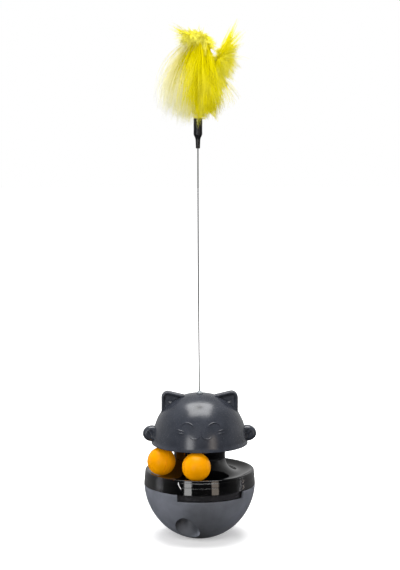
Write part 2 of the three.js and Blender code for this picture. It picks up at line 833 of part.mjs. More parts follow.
const plugHeadBottom = domeTop + fit;
const plugFlangeTop = plugHeadBottom + plugFlange;
const plugTop = plugHeadBottom + plugHeadHeight;
const wireFoot = plugTop - wireSeat;
const ferruleBottom = plugTop + wireLength;
const ferruleTop = ferruleBottom + ferruleLength;
const wireTop = ferruleBottom + ferruleSeat;
const wireBore = wireRadius + fit;

function makePlug() {
  const stem = socketRadius - fit;
  return revolve(
    [
      point(0, plugHeadBottom - plugStemDepth),
      point(stem, plugHeadBottom - plugStemDepth),
      point(stem, plugHeadBottom),
      point(plugHeadRadius, plugHeadBottom),
      ...arc(point(plugHeadRadius - plugHeadRound, plugFlangeTop - plugHeadRound), plugHeadRound, 0, 90, 2),
      point(plugNubRadius, plugFlangeTop),
      ...arc(point(plugNubRadius - plugHeadRound, plugTop - plugHeadRound), plugHeadRound, 0, 90, 2),
      point(wireBore, plugTop),
      point(wireBore, wireFoot - fit),
      point(0, wireFoot - fit),
    ],
    wandFacets,
  );
}

function makeWire() {
  const circle = new THREE.Shape().absarc(0, 0, wireRadius, 0, 2 * Math.PI);
  const middle = (wireFoot + wireTop) / 2;
  const path = new THREE.QuadraticBezierCurve3(
    new THREE.Vector3(0, 0, wireFoot),
    new THREE.Vector3(-wireLean, 0, middle),
    new THREE.Vector3(-wireLean, 0, wireTop),
  );
  return solidOf(new THREE.ExtrudeGeometry(circle, { steps: 12, extrudePath: path, curveSegments: 4 }));
}

function makeFerrule() {
  const shoulder = ferruleBottom + ferruleShoulder;
  const sleeve = revolve(
    [
      point(0, wireTop + fit),
      point(wireBore, wireTop + fit),
      point(wireBore, ferruleBottom),
      point(ferruleLowRadius, ferruleBottom),
      point(ferruleWaistRadius, shoulder - ferruleTaper),
      point(ferruleTopRadius, shoulder),
      point(ferruleTopRadius, ferruleTop),
      point(0, ferruleTop),
    ],
    wandFacets,
  );
  return sleeve.translate([-wireLean, 0, 0]);
}

// One closed skin over a row of rings with as many points each
function loft(rings) {
  const count = rings[0].length;
  const centreOf = (ring) => ring.reduce((sum, p) => sum.add(p), new THREE.Vector3()).divideScalar(count);
  const vertices = [...rings.flat(), centreOf(rings[0]), centreOf(rings[rings.length - 1])];
  const faces = [];
  for (let row = 0; row < rings.length - 1; row += 1) {
    for (let i = 0; i < count; i += 1) {
      const a = row * count + i;
      const b = row * count + ((i + 1) % count);
      faces.push(a, b, b + count, a, b + count, a + count);
    }
  }
  const last = (rings.length - 1) * count;
  for (let i = 0; i < count; i += 1) {
    const next = (i + 1) % count;
    faces.push(vertices.length - 2, next, i, vertices.length - 1, last + i, last + next);
  }
  const geometry = new THREE.BufferGeometry().setFromPoints(vertices);
  geometry.setIndex(faces);
  return solidOf(geometry);
}

function makePlume(index) {
  const lean = plumeLeans[index];
  const rise = plumeRises[index];
  const depth = plumeDepths[index];
  const width = plumeWidths[index];
  const rachis = new THREE.QuadraticBezierCurve(
    point(plumeRoot, fit),
    point(plumeRoot + plumeBows[index], rise / 2),
    point(lean, rise),
  );
  const ringAt = (row, vane) => {
    const along = row / plumeRows;
    const middle = rachis.getPoint(along);
    const heading = row === 0 ? point(0, 1) : rachis.getTangent(along);
    const fullness = Math.sin(Math.PI * along ** plumeSkew) ** plumeBluntness;
    const halfDepth = plumeBase + (depth - plumeBase) * fullness;
    const halfWidth = plumeBase + (width - plumeBase) * fullness - vane;
    return Array.from({ length: plumeSides }, (_, i) => {
      const angle = (2 * Math.PI * i) / plumeSides;
      const out = halfDepth * Math.cos(angle) - vane;
      const radial = middle.x + out * heading.y;
      const height = Math.max(middle.y - out * heading.x, fit + 2 * vane);
      return new THREE.Vector3(radial, halfWidth * Math.sin(angle), height);
    });
  };
  const rows = Array.from({ length: plumeRows + 1 }, (_, row) => row);
  const outside = loft(rows.map((row) => ringAt(row, 0)));
  const hollow = loft(rows.slice(1, -1).map((row) => ringAt(row, plumeVane)));
  const half = plumeShares[index] / 2;
  const reach = 2 * (lean + depth + width);
  const clear = fit / 2 / Math.sin(radians(half));
  const wedge = new THREE.Shape([
    point(clear, 0),
    point(reach, -(reach - clear) * Math.tan(radians(half))),
    point(reach, (reach - clear) * Math.tan(radians(half))),
  ]);
  const room = solidOf(new THREE.ExtrudeGeometry(wedge, { depth: 2 * rise, bevelEnabled: false }));
  const plume = outside.subtract(hollow).intersect(room.translate([0, 0, -rise / 2]));
  return plume.rotate([0, 0, plumeAzimuths[index] - 90]).translate([-wireLean, 0, ferruleTop]);
}

// Assembly

const toy = new THREE.Group();

function add(name, solid, material) {
  const mesh = new THREE.Mesh(geometryOf(solid), material);
  mesh.name = name;
  toy.add(mesh);
}

add('bowl_shell', makeBowl(), satinPlastic);
add('counterweight', makeWeight(), steel);
add('weight_screw', makeWeightScrew(), steel);
add('treat_floor', makeTreatFloor(), innerPlastic);
postAzimuths.forEach((azimuth, i) => add(`floor_screw_${i + 1}`, makeFloorScrew(azimuth), steel));
add('treat_gate', makeGate(), innerPlastic);
add('track_tray', makeTray(), smokedPlastic);
add('neck_collar', makeNeck(), smokedPlastic);
neckScrewAngles.forEach((azimuth, i) => {
  const screw = risingScrew(coveTop - flangeThickness, flangeThickness, azimuth, neckScrewDistance);
  add(`neck_screw_${i + 1}`, screw, steel);
});
add('head_shell', makeHead(), glossPlastic);
headScrewAngles.forEach((azimuth, i) => {
  const screw = risingScrew(neckTop - neckPlate, neckPlate, azimuth, headPostDistance);
  add(`head_screw_${i + 1}`, screw, steel);
});
[
  ['ball_left', ballLeftAzimuth],
  ['ball_front', ballFrontAzimuth],
].forEach(([name, azimuth]) => {
  add(`${name}_cap`, placedBall(ballUpperHalf(), azimuth), ballPlastic);
  add(`${name}_cup`, placedBall(ballLowerHalf(), azimuth), ballPlastic);
});
add('wand_plug', makePlug(), clearSilicone);
add('wand_wire', makeWire(), steel);
add('wand_ferrule', makeFerrule(), blackSleeve);
plumeNames.forEach((name, i) => add(`feather_${name}`, makePlume(i), feather));

export default toy;
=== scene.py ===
"""The wobble cat toy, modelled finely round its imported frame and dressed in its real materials.

Sizes in the dataclasses are millimetres, in the frame's own axes: +Z up, the face along -Y, and azimuths in
degrees from the front, positive towards +X. The meshes are in metres.
"""

from __future__ import annotations

import logging
import math
from collections.abc import Iterator, Sequence
from contextlib import contextmanager
from dataclasses import dataclass
from enum import Enum
from itertools import pairwise
from typing import Any

import bmesh
import bpy
import numpy as np
from mathutils import Matrix, Vector

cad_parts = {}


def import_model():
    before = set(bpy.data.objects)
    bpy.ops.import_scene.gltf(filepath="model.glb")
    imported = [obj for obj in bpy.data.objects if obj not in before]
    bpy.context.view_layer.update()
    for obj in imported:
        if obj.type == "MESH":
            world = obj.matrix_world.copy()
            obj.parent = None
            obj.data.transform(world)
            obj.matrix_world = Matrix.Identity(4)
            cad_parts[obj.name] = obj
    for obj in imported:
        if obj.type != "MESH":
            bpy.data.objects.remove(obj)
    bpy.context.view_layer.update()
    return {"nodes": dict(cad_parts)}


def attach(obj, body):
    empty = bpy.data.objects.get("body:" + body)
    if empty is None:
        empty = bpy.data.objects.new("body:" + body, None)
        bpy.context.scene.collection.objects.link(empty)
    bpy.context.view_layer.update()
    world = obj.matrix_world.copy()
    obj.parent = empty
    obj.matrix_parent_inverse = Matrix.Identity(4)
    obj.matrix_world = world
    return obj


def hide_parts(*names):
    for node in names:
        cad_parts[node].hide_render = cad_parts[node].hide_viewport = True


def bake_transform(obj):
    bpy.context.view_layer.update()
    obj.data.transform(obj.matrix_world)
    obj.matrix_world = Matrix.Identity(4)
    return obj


LOG = logging.getLogger("wobble_cat_toy")

MM = 0.001
WELD = 1e-7
Point = tuple[float, float]
Triple = tuple[float, float, float]
Piece = bpy.types.Object
Material = bpy.types.Material
Tree = bpy.types.NodeTree
Socket = bpy.types.NodeSocket

COLLAR_SCREWS = (0.0, 120.0, 240.0)  # the azimuths of the screws that hold the collar on the tray
COLLAR_SCREW_DISTANCE = 21.49
HEAD_SCREWS = (60.0, 180.0, 300.0)  # the azimuths of the screws that hold the head on the collar
HEAD_SCREW_DISTANCE = 12.0
SCREW_HOLE = 1.5  # radius


def linear(colour: str) -> tuple[float, float, float, float]:
    """Turns an sRGB hex colour to linear light.

    Args:
        colour: Six hex digits.

    Returns:
        Red, green, blue and an alpha of 1.
    """
    channels = [int(colour[i:i + 2], 16) / 255 for i in (0, 2, 4)]
    lit = [c / 12.92 if c <= 0.04045 else ((c + 0.055) / 1.055) ** 2.4 for c in channels]
    return (*lit, 1.0)


def place(radius: float, azimuth: float, height: float) -> Vector:
    """Gives the point, in metres, at a radius, azimuth and height in millimetres and degrees."""
    angle = math.radians(azimuth)
    return Vector((radius * math.sin(angle), -radius * math.cos(angle), height)) * MM


def arc(centre: Point, radius: float, start: float, end: float, steps: int) -> list[Point]:
    """Gives points along an arc.

    Args:
        centre: The arc's centre.
        radius: Its radius.
        start: The angle of its first point, in degrees.
        end: The angle of its last point, in degrees.
        steps: How many chords it has.

    Returns:
        The points, both ends included.
    """
    angles = [math.radians(start + (end - start) * i / steps) for i in range(steps + 1)]
    return [(centre[0] + radius * math.cos(a), centre[1] + radius * math.sin(a)) for a in angles]


class Join(Enum):
    """The ways in which one solid meets another."""

    ADD = "UNION"
    CUT = "DIFFERENCE"
    KEEP = "INTERSECT"


def activate(piece: Piece) -> None:
    """Makes a piece the only one selected."""
    bpy.ops.object.select_all(action="DESELECT")
    piece.select_set(True)
    bpy.context.view_layer.objects.active = piece


@contextmanager
def editing(piece: Piece, kind: str = "VERT") -> Iterator[bmesh.types.BMesh]:
    """Opens a piece in edit mode with all of it selected.

    Args:
        piece: The piece to edit.
        kind: The select mode, VERT, EDGE or FACE.

    Yields:
        The mesh under edit.
    """
    activate(piece)
    bpy.ops.object.mode_set(mode="EDIT")
    bpy.ops.mesh.select_mode(type=kind)
    bpy.ops.mesh.select_all(action="SELECT")
    yield bmesh.from_edit_mesh(piece.data)
    bpy.ops.object.mode_set(mode="OBJECT")


def primitive(name: str, add: Any, **settings: Any) -> Piece:
    """Adds a primitive and puts its place into its mesh.

    Args:
        name: The piece's name.
        add: The operator that adds it.
        **settings: What that operator is told.

    Returns:
        The piece.
    """
    bpy.ops.object.select_all(action="DESELECT")
    add(**settings)
    piece = bpy.context.object
    piece.name = name
    piece.data.name = name
    bpy.ops.object.transform_apply(location=True, rotation=True, scale=True)
    return piece


def closed_skin(piece: Piece) -> None:
    """Merges a skin's doubled points and turns its faces outwards."""
    with editing(piece):
        bpy.ops.mesh.remove_doubles(threshold=WELD)
        bpy.ops.mesh.normals_make_consistent(inside=False)


def drawn(name: str, path: Sequence[Vector]) -> Piece:
    """Draws a line of edges through points in metres."""
    piece = primitive(name, bpy.ops.mesh.primitive_plane_add, size=MM, location=path[0])
    with editing(piece):
        bpy.ops.mesh.merge(type="CENTER")
        for here, there in pairwise(path):
            bpy.ops.mesh.extrude_region_move(TRANSFORM_OT_translate={"value": there - here})
    return piece


def turned(name: str, profile: Sequence[Point], steps: int, sweep: Point | None = None) -> Piece:
    """Turns a profile of radius and height round the Z axis.

    Args:
        name: The piece's name.
        profile: Radii and heights, from axis to axis, or closed on its first point.
        steps: The facets round the sweep.
        sweep: The first and last azimuth of a part turn, which is closed at both ends.

    Returns:
        The closed piece.
    """
    start, end = sweep or (0.0, 360.0)
    piece = drawn(name, [place(radius, start, height) for radius, height in profile])
    with editing(piece):
        if sweep:
            bpy.ops.mesh.edge_face_add()
            bpy.ops.mesh.select_all(action="SELECT")
        bpy.ops.mesh.spin(steps=steps, angle=-math.radians(end - start), center=(0, 0, 0), axis=(0, 0, 1))
    closed_skin(piece)
    return piece


def block(name: str, radii: Point, heights: Point, sweep: Point, steps: int) -> Piece:
    """Makes a sector of a ring.

    Args:
        name: The piece's name.
        radii: Its inner and outer radius.
        heights: Its lower and upper height.
        sweep: Its first and last azimuth.
        steps: The facets along it.

    Returns:
        The closed piece.
    """
    (inner, outer), (bottom, top) = radii, heights
    return turned(name, [(inner, bottom), (outer, bottom), (outer, top), (inner, top)], steps, sweep)


def rod(
    name: str,
    radius: float,
    heights: Point,
    azimuth: float = 0.0,
    distance: float = 0.0,
    sides: int = 48,
) -> Piece:
    """Makes an upright round rod.

    Args:
        name: The piece's name.
        radius: Its radius.
        heights: Its lower and upper height.
        azimuth: The way to its axis.
        distance: How far its axis is from the toy's.
        sides: Its facets.

    Returns:
        The closed piece.
    """
    bottom, top = heights
    return primitive(
        name,
        bpy.ops.mesh.primitive_cone_add,
        vertices=sides,
        radius1=radius * MM,
        radius2=radius * MM,
        depth=(top - bottom) * MM,
        location=place(distance, azimuth, (bottom + top) / 2),
    )


def combine(piece: Piece, tool: Piece, way: Join, solver: str = "EXACT") -> None:
    """Adds a solid to a piece, cuts it away or keeps what they share, and uses the solid up.

    Args:
        piece: The piece that stays.
        tool: The other solid.
        way: How they meet.
        solver: The boolean's solver. MANIFOLD gives the same result each run where a rounded edge crosses
            itself, as the ears' small ones do. EXACT doesn't.
    """
    modifier = piece.modifiers.new("combine", "BOOLEAN")
    modifier.operation = way.value
    modifier.solver = solver
    modifier.object = tool
    activate(piece)
    bpy.ops.object.modifier_apply(modifier=modifier.name)
    bpy.data.objects.remove(tool, do_unlink=True)


def copied(piece: Piece, name: str, matrix: Matrix) -> Piece:
    """Copies a piece with a mesh of its own and moves the copy's mesh.

    Args:
        piece: What is copied.
        name: The copy's name.
        matrix: The move, which may mirror.

    Returns:
        The copy.
    """
    copy = piece.copy()
    copy.data = piece.data.copy()
    copy.name = name
    copy.data.name = name
    bpy.context.collection.objects.link(copy)
    copy.data.transform(matrix)
    if matrix.determinant() < 0:
        closed_skin(copy)
    return copy


def bar(name: str, centres: Sequence[Vector], radius: float, taper: int) -> Piece:
    """Lays a round bar along points.

    Args:
        name: The piece's name.
        centres: Its middle line, in metres.
        radius: Its radius, in millimetres.
        taper: How many points its narrowed ends take.

    Returns:
        The closed bar.
    """
    curve = bpy.data.curves.new(name, "CURVE")
    curve.dimensions = "3D"
    curve.bevel_depth = radius * MM
    curve.bevel_resolution = 3
    curve.use_fill_caps = True
    spline = curve.splines.new("POLY")
    spline.points.add(len(centres) - 1)
    for i, (point, centre) in enumerate(zip(spline.points, centres)):
        ends = min(i, len(centres) - 1 - i) / taper
        point.co = (*centre, 1.0)
        point.radius = min(1.0, 0.35 + 0.65 * ends)
    piece = bpy.data.objects.new(name, curve)
    bpy.context.collection.objects.link(piece)
    activate(piece)
    bpy.ops.object.convert(target="MESH")
    closed_skin(piece)
    return piece


def soften(piece: Piece, width: float, angle: float = 40.0, segments: int = 2) -> None:
    """Rounds a piece's sharp edges.

    Args:
        piece: The piece.
        width: The round's width.
        angle: Edges sharper than this are rounded, in degrees.
        segments: The facets of the round.
    """
    modifier = piece.modifiers.new("rounded edges", "BEVEL")
    modifier.width = width * MM
    modifier.segments = segments
    modifier.limit_method = "ANGLE"
    modifier.angle_limit = math.radians(angle)
    modifier.use_clamp_overlap = True
    modifier.harden_normals = False
    activate(piece)
    bpy.ops.object.modifier_apply(modifier=modifier.name)


def smooth(piece: Piece, angle: float = 32.0) -> None:
    """Shades a piece smooth but for the edges sharper than an angle."""
    activate(piece)
    bpy.ops.object.shade_smooth_by_angle(angle=math.radians(angle))


def dress(piece: Piece, material: Material) -> None:
    """Gives a piece one material."""
    piece.data.materials.clear()
    piece.data.materials.append(material)


def seat(piece: Piece, material: Material, body: str, slot: str, *nodes: str) -> None:
    """Dresses a finished piece and puts it on its body in place of its plain nodes.

    Args:
        piece: The finished piece.
        material: Its material.
        body: The body it moves with.
        slot: The record's material slot that matches its finish. It is not used.
        *nodes: The nodes it stands for.
    """
    dress(piece, material)
    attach(piece, body)
    if nodes:
        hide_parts(*nodes)
    LOG.info("%s rides on %s, %d faces", piece.name, body, len(piece.data.polygons))


# Finishes


def add_node(
    tree: Tree,
    kind: str,
    settings: dict[str, Any] | None = None,
    values: dict[str | int, Any] | None = None,
    links: dict[str | int, Socket] | None = None,
) -> bpy.types.Node:
    """Adds a node to a tree.

    Args:
        tree: The node tree.
        kind: The node's type.
        settings: Its properties.
        values: Its sockets' own values.
        links: What its sockets are fed by.

    Returns:
        The node.
    """
    node = tree.nodes.new(kind)
    for key, value in (settings or {}).items():
        setattr(node, key, value)
    for key, value in (values or {}).items():
        node.inputs[key].default_value = value
    for key, source in (links or {}).items():
        tree.links.new(source, node.inputs[key])
    return node


def fresh_material(name: str) -> tuple[Material, Tree, Socket]:
    """Makes an empty material.

    Args:
        name: Its name.

    Returns:
        The material, its tree and its surface socket.
    """
    material = bpy.data.materials.new(name)
    material.use_nodes = True
    tree = material.node_tree
    tree.nodes.clear()
    output = tree.nodes.new("ShaderNodeOutputMaterial")
    return material, tree, output.inputs["Surface"]


def coordinates(tree: Tree, kind: str = "Object") -> Socket:
    """Adds texture coordinates of one kind."""
    return add_node(tree, "ShaderNodeTexCoord").outputs[kind]


def noise(tree: Tree, where: Socket, size: float, detail: float, roughness: float = 0.5) -> Socket:
    """Adds a noise texture.

    Args:
        tree: The node tree.
        where: The coordinates it reads.
        size: The width of its marks, in mm.
        detail: How many finer layers it has.
        roughness: How strong those are.

    Returns:
        Its grey level.
    """
    values = {"Scale": 1 / (size * MM), "Detail": detail, "Roughness": roughness}
    return add_node(tree, "ShaderNodeTexNoise", values=values, links={"Vector": where}).outputs["Fac"]


def ranged(tree: Tree, source: Socket, given: Point, taken: Point, way: str = "LINEAR") -> Socket:
    """Maps one range of values to another.

    Args:
        tree: The node tree.
        source: The value that is mapped.
        given: The range it comes in.
        taken: The range it leaves in.
        way: How it goes from end to end.

    Returns:
        The mapped value.
    """
    values = {"From Min": given[0], "From Max": given[1], "To Min": taken[0], "To Max": taken[1]}
    kind = "ShaderNodeMapRange"
    return add_node(tree, kind, {"interpolation_type": way}, values, {"Value": source}).outputs["Result"]


def summed(tree: Tree, source: Socket, factor: float, term: Any) -> Socket:
    """Multiplies a value by a factor and adds a number or another value."""
    values, links = {1: factor}, {0: source}
    (values if isinstance(term, float) else links)[2] = term
    return add_node(tree, "ShaderNodeMath", {"operation": "MULTIPLY_ADD"}, values, links).outputs["Value"]


def bumped(tree: Tree, height: Socket, depth: float, strength: float = 1.0) -> Socket:
    """Adds a bump of a depth in mm."""
    values = {"Strength": strength, "Distance": depth * MM}
    return add_node(tree, "ShaderNodeBump", values=values, links={"Height": height}).outputs["Normal"]


def end_in_shader(tree: Tree, surface: Socket, values: dict[str, Any], links: dict[str, Socket]) -> None:
    """Feeds a material's surface from a principled shader."""
    shader = add_node(tree, "ShaderNodeBsdfPrincipled", values=values, links=links)
    tree.links.new(shader.outputs["BSDF"], surface)


def ramp(tree: Tree, source: Socket, stops: Sequence[tuple[float, Any]]) -> Any:
    """Adds a colour ramp.

    Args:
        tree: The node tree.
        source: What drives it.
        stops: Each stop's place and its colour, as hex, or its grey level.

    Returns:
        The ramp's colour socket.
    """
    node = add_node(tree, "ShaderNodeValToRGB", links={"Fac": source})
    elements = node.color_ramp.elements
    while len(elements) < len(stops):
        elements.new(0.5)
    for element, (where, colour) in zip(elements, stops):
        element.position = where
        element.color = linear(colour) if isinstance(colour, str) else (colour, colour, colour, 1.0)
    return node.outputs["Color"]


NOISE_RANGE = (0.3, 0.7)  # the grey levels that nearly all of a noise texture keeps between


@dataclass(frozen=True)
class MouldedPlastic:
    """Injection-moulded ABS. The mould's texture breaks up its shine, and its pigment is not quite even."""

    name: str
    dark: str
    light: str
    roughness: Point
    grain: float  # mm, of the mould's texture
    depth: float  # mm, of that texture
    cloud: float = 14.0  # mm, of the slow change in shade
    specular: float = 0.5
    scatter: float = 0.0  # painted glow: emission in the pigment's colour, standing in for the light that comes back out of a thin, light shell

    def build(self) -> Material:
        """Makes the material."""
        material, tree, surface = fresh_material(self.name)
        where = coordinates(tree)
        cloud = noise(tree, where, self.cloud, 3.0)
        speck = noise(tree, where, self.grain, 2.0, 0.6)
        mixed = summed(tree, speck, 0.55, cloud)
        colour = ramp(tree, mixed, [(0.55, self.dark), (1.0, self.light)])
        rough = ranged(tree, speck, NOISE_RANGE, self.roughness)
        bump = bumped(tree, speck, self.depth)
        # Painted glow: the scatter value sets emission in the base colour, so a light shell glows though it
        # is no lamp.
        values = {"IOR": 1.53, "Specular IOR Level": self.specular, "Emission Strength": self.scatter}
        links = {"Base Color": colour, "Emission Color": colour, "Roughness": rough, "Normal": bump}
        end_in_shader(tree, surface, values, links)
        return material


@dataclass(frozen=True)
class SmokedPlastic:
    """Smoke-tinted clear ABS, polished. It is near black in depth and mirrors the room. Below the wall's foot
    it is painted a lighter grey, standing in for the reflections and light seen in the tab.
    """

    name: str = "smoke_tinted_abs"
    tint: str = "161516"
    shade: str = "08090c"
    # painted light: a lighter grey for the tab, spigot and teeth below the wall's foot, standing in for the
    # dim reflections and light seen in the tab
    thin: str = "4a494c"
    painted_light_below: Point = (56.6, 57.6)  # mm, heights over which the colour blends to that painted lighter grey below the wall's foot
    roughness: float = 0.07
    clear: float = 0.7  # share of the light that enters and passes through
    flow: float = 22.0  # mm, of the slow waves of the moulded surface
    flow_depth: float = 0.05

    def build(self) -> Material:
        """Makes the material."""
        material, tree, surface = fresh_material(self.name)
        where = coordinates(tree)
        flow = noise(tree, where, self.flow, 1.0)
        deep = ramp(tree, flow, [(0.35, self.shade), (0.65, self.tint)])
        # Painted light: below the wall's foot the colour blends to the lighter grey, standing in for the
        # reflections and light seen in the tab.
        height = add_node(tree, "ShaderNodeSeparateXYZ", links={"Vector": where}).outputs["Z"]
        low, high = self.painted_light_below
        share = ranged(tree, height, (low * MM, high * MM), (0.0, 1.0))
        colour = add_node(
            tree,
            "ShaderNodeMix",
            {"data_type": "RGBA"},
            {6: linear(self.thin)},
            {"Factor": share, 7: deep},
        ).outputs[2]
        bump = bumped(tree, flow, self.flow_depth)
        values = {"Roughness": self.roughness, "IOR": 1.55, "Transmission Weight": self.clear}
        end_in_shader(tree, surface, values, {"Base Color": colour, "Normal": bump})
        return material


@dataclass(frozen=True)
class TurnedSteel:
    """Plain or plated steel, drawn or turned. Fine marks along its axis stretch the highlight."""

    name: str
    dark: str
    light: str
    roughness: Point
    mark: float = 0.35  # mm, across the drawing marks
    stretch: float = 0.02  # how much longer than wide a mark is, as the pattern's share along Z

    def build(self) -> Material:
        """Makes the material."""
        material, tree, surface = fresh_material(self.name)
        along = add_node(
            tree,
            "ShaderNodeMapping",
            values={"Scale": (1.0, 1.0, self.stretch)},
            links={"Vector": coordinates(tree)},
        ).outputs["Vector"]
        marks = noise(tree, along, self.mark, 3.0)
        colour = ramp(tree, marks, [(NOISE_RANGE[0], self.dark), (NOISE_RANGE[1], self.light)])
        rough = ranged(tree, marks, NOISE_RANGE, self.roughness)
        end_in_shader(tree, surface, {"Metallic": 1.0}, {"Base Color": colour, "Roughness": rough})
        return material


@dataclass(frozen=True)
class Silicone:
    """Clear silicone rubber, milky, with a soft skin."""

    name: str = "milky_silicone"
    dark: str = "969ba0"
    light: str = "aeb4b8"
    cloud: float = 2.5  # mm, of the change in milkiness
    depth: float = 0.03  # mm, of the skin's unevenness

    def build(self) -> Material:
        """Makes the material."""
        material, tree, surface = fresh_material(self.name)
        cloud = noise(tree, coordinates(tree), self.cloud, 2.0)
        colour = ramp(tree, cloud, [(NOISE_RANGE[0], self.dark), (NOISE_RANGE[1], self.light)])
        bump = bumped(tree, cloud, self.depth, 0.6)
        values = {"Roughness": 0.34, "IOR": 1.41, "Transmission Weight": 0.15}
        end_in_shader(tree, surface, values, {"Base Color": colour, "Normal": bump})
        return material


@dataclass(frozen=True)
class Down:
    """Dyed turkey down. Light passes through its barbs, the dye pales from the quill to the tips, and a
    painted glow in its own colour brightens it.
    """

    name: str
    root: str = "d4c700"
    middle: str = "eae200"
    tip: str = "ece766"
    dim: float = 0.62  # how dark the darkest locks are
    clear: float = 0.42  # share of the light that passes through
    scatter: float = 0.42  # painted glow: emission in the barbs' colour, standing in for the light that comes back out from between the barbs
    spread: float = 0.36  # how far apart along the dye's run two barbs at one place can be

    def build(self) -> Material:
        """Makes the material."""
        material, tree, surface = fresh_material(self.name)
        split = add_node(tree, "ShaderNodeSeparateXYZ", links={"Vector": coordinates(tree, "UV")})
        lot = summed(tree, split.outputs["X"], self.spread, -self.spread / 2)
        settings = {"operation": "ADD", "use_clamp": True}
        links = {0: lot, 1: split.outputs["Y"]}
        along = add_node(tree, "ShaderNodeMath", settings, links=links).outputs["Value"]
        dyed = ramp(tree, along, [(0.05, self.root), (0.4, self.middle), (0.95, self.tip)])
        lock = ramp(tree, split.outputs["X"], [(0.0, self.dim), (0.75, 1.0)])
        colour = add_node(
            tree,
            "ShaderNodeMix",
            {"data_type": "RGBA", "blend_type": "MULTIPLY"},
            {"Factor": 1.0},
            {6: dyed, 7: lock},
        ).outputs[2]
        # Painted glow: this shader also emits the down's own colour at the scatter strength.
        sheen = add_node(
            tree,
            "ShaderNodeBsdfPrincipled",
            values={"Roughness": 0.5, "Specular IOR Level": 0.1, "Emission Strength": self.scatter},
            links={"Base Color": colour, "Emission Color": colour},
        )
        through = add_node(tree, "ShaderNodeBsdfTranslucent", links={"Color": colour})
        mixed = add_node(
            tree,
            "ShaderNodeMixShader",
            values={"Fac": self.clear},
            links={1: sheen.outputs["BSDF"], 2: through.outputs["BSDF"]},
        )
        tree.links.new(mixed.outputs["Shader"], surface)
        return material


@dataclass(frozen=True)
class Finishes:
    """Every material of the toy."""

    bowl: MouldedPlastic = MouldedPlastic(
        "satin_abs_bowl", "585b61", "686b72", (0.38, 0.5), grain=0.5, depth=0.035
    )
    head: MouldedPlastic = MouldedPlastic(
        "gloss_abs_head", "2d3037", "383b43", (0.22, 0.28), grain=0.9, depth=0.004
    )
    inner: MouldedPlastic = MouldedPlastic(
        "satin_abs_inner", "3c3e42", "494b50", (0.45, 0.58), grain=0.5, depth=0.04
    )
    ball: MouldedPlastic = MouldedPlastic(
        "dyed_abs_ball",
        "ca8200",
        "d48b00",
        (0.3, 0.4),
        grain=0.6,
        depth=0.012,
        cloud=9.0,
        specular=0.1,
        # painted glow that brightens the balls, standing in for light through their shells
        scatter=0.24,
    )
    sleeve: MouldedPlastic = MouldedPlastic(
        "heat_shrink_sleeve", "111113", "1c1c1f", (0.3, 0.44), grain=0.9, depth=0.04, cloud=3.0
    )
    # the colour of the white tick, a white line laid on the tray's wall
    white_tick: MouldedPlastic = MouldedPlastic(
        "white_tick_line", "cfd0d0", "e6e6e6", (0.4, 0.5), grain=0.3, depth=0.01, cloud=2.0
    )
    # Painted highlight: grey chevrons that stand in for the light caught by moulded arrows on the wall.
    chevron_highlight: MouldedPlastic = MouldedPlastic(
        "painted_highlight_chevrons", "6a645d", "7b756d", (0.4, 0.5), grain=0.3, depth=0.01, cloud=2.0
    )
    smoked: SmokedPlastic = SmokedPlastic()
    weight: TurnedSteel = TurnedSteel("cast_steel", "7c7e82", "97999d", (0.38, 0.52), mark=1.2, stretch=0.8)
    screw: TurnedSteel = TurnedSteel("zinc_plated_steel", "9a9ca0", "b9babd", (0.25, 0.36), stretch=0.5)
    wire: TurnedSteel = TurnedSteel("spring_steel_wire", "303234", "454749", (0.36, 0.5))
    silicone: Silicone = Silicone()
    down: Down = Down("dyed_down")
    pale_down: Down = Down("pale_dyed_down", root="ddd674", middle="e7e2ac", tip="ecebd8", dim=0.86)


# The bowl and what it holds


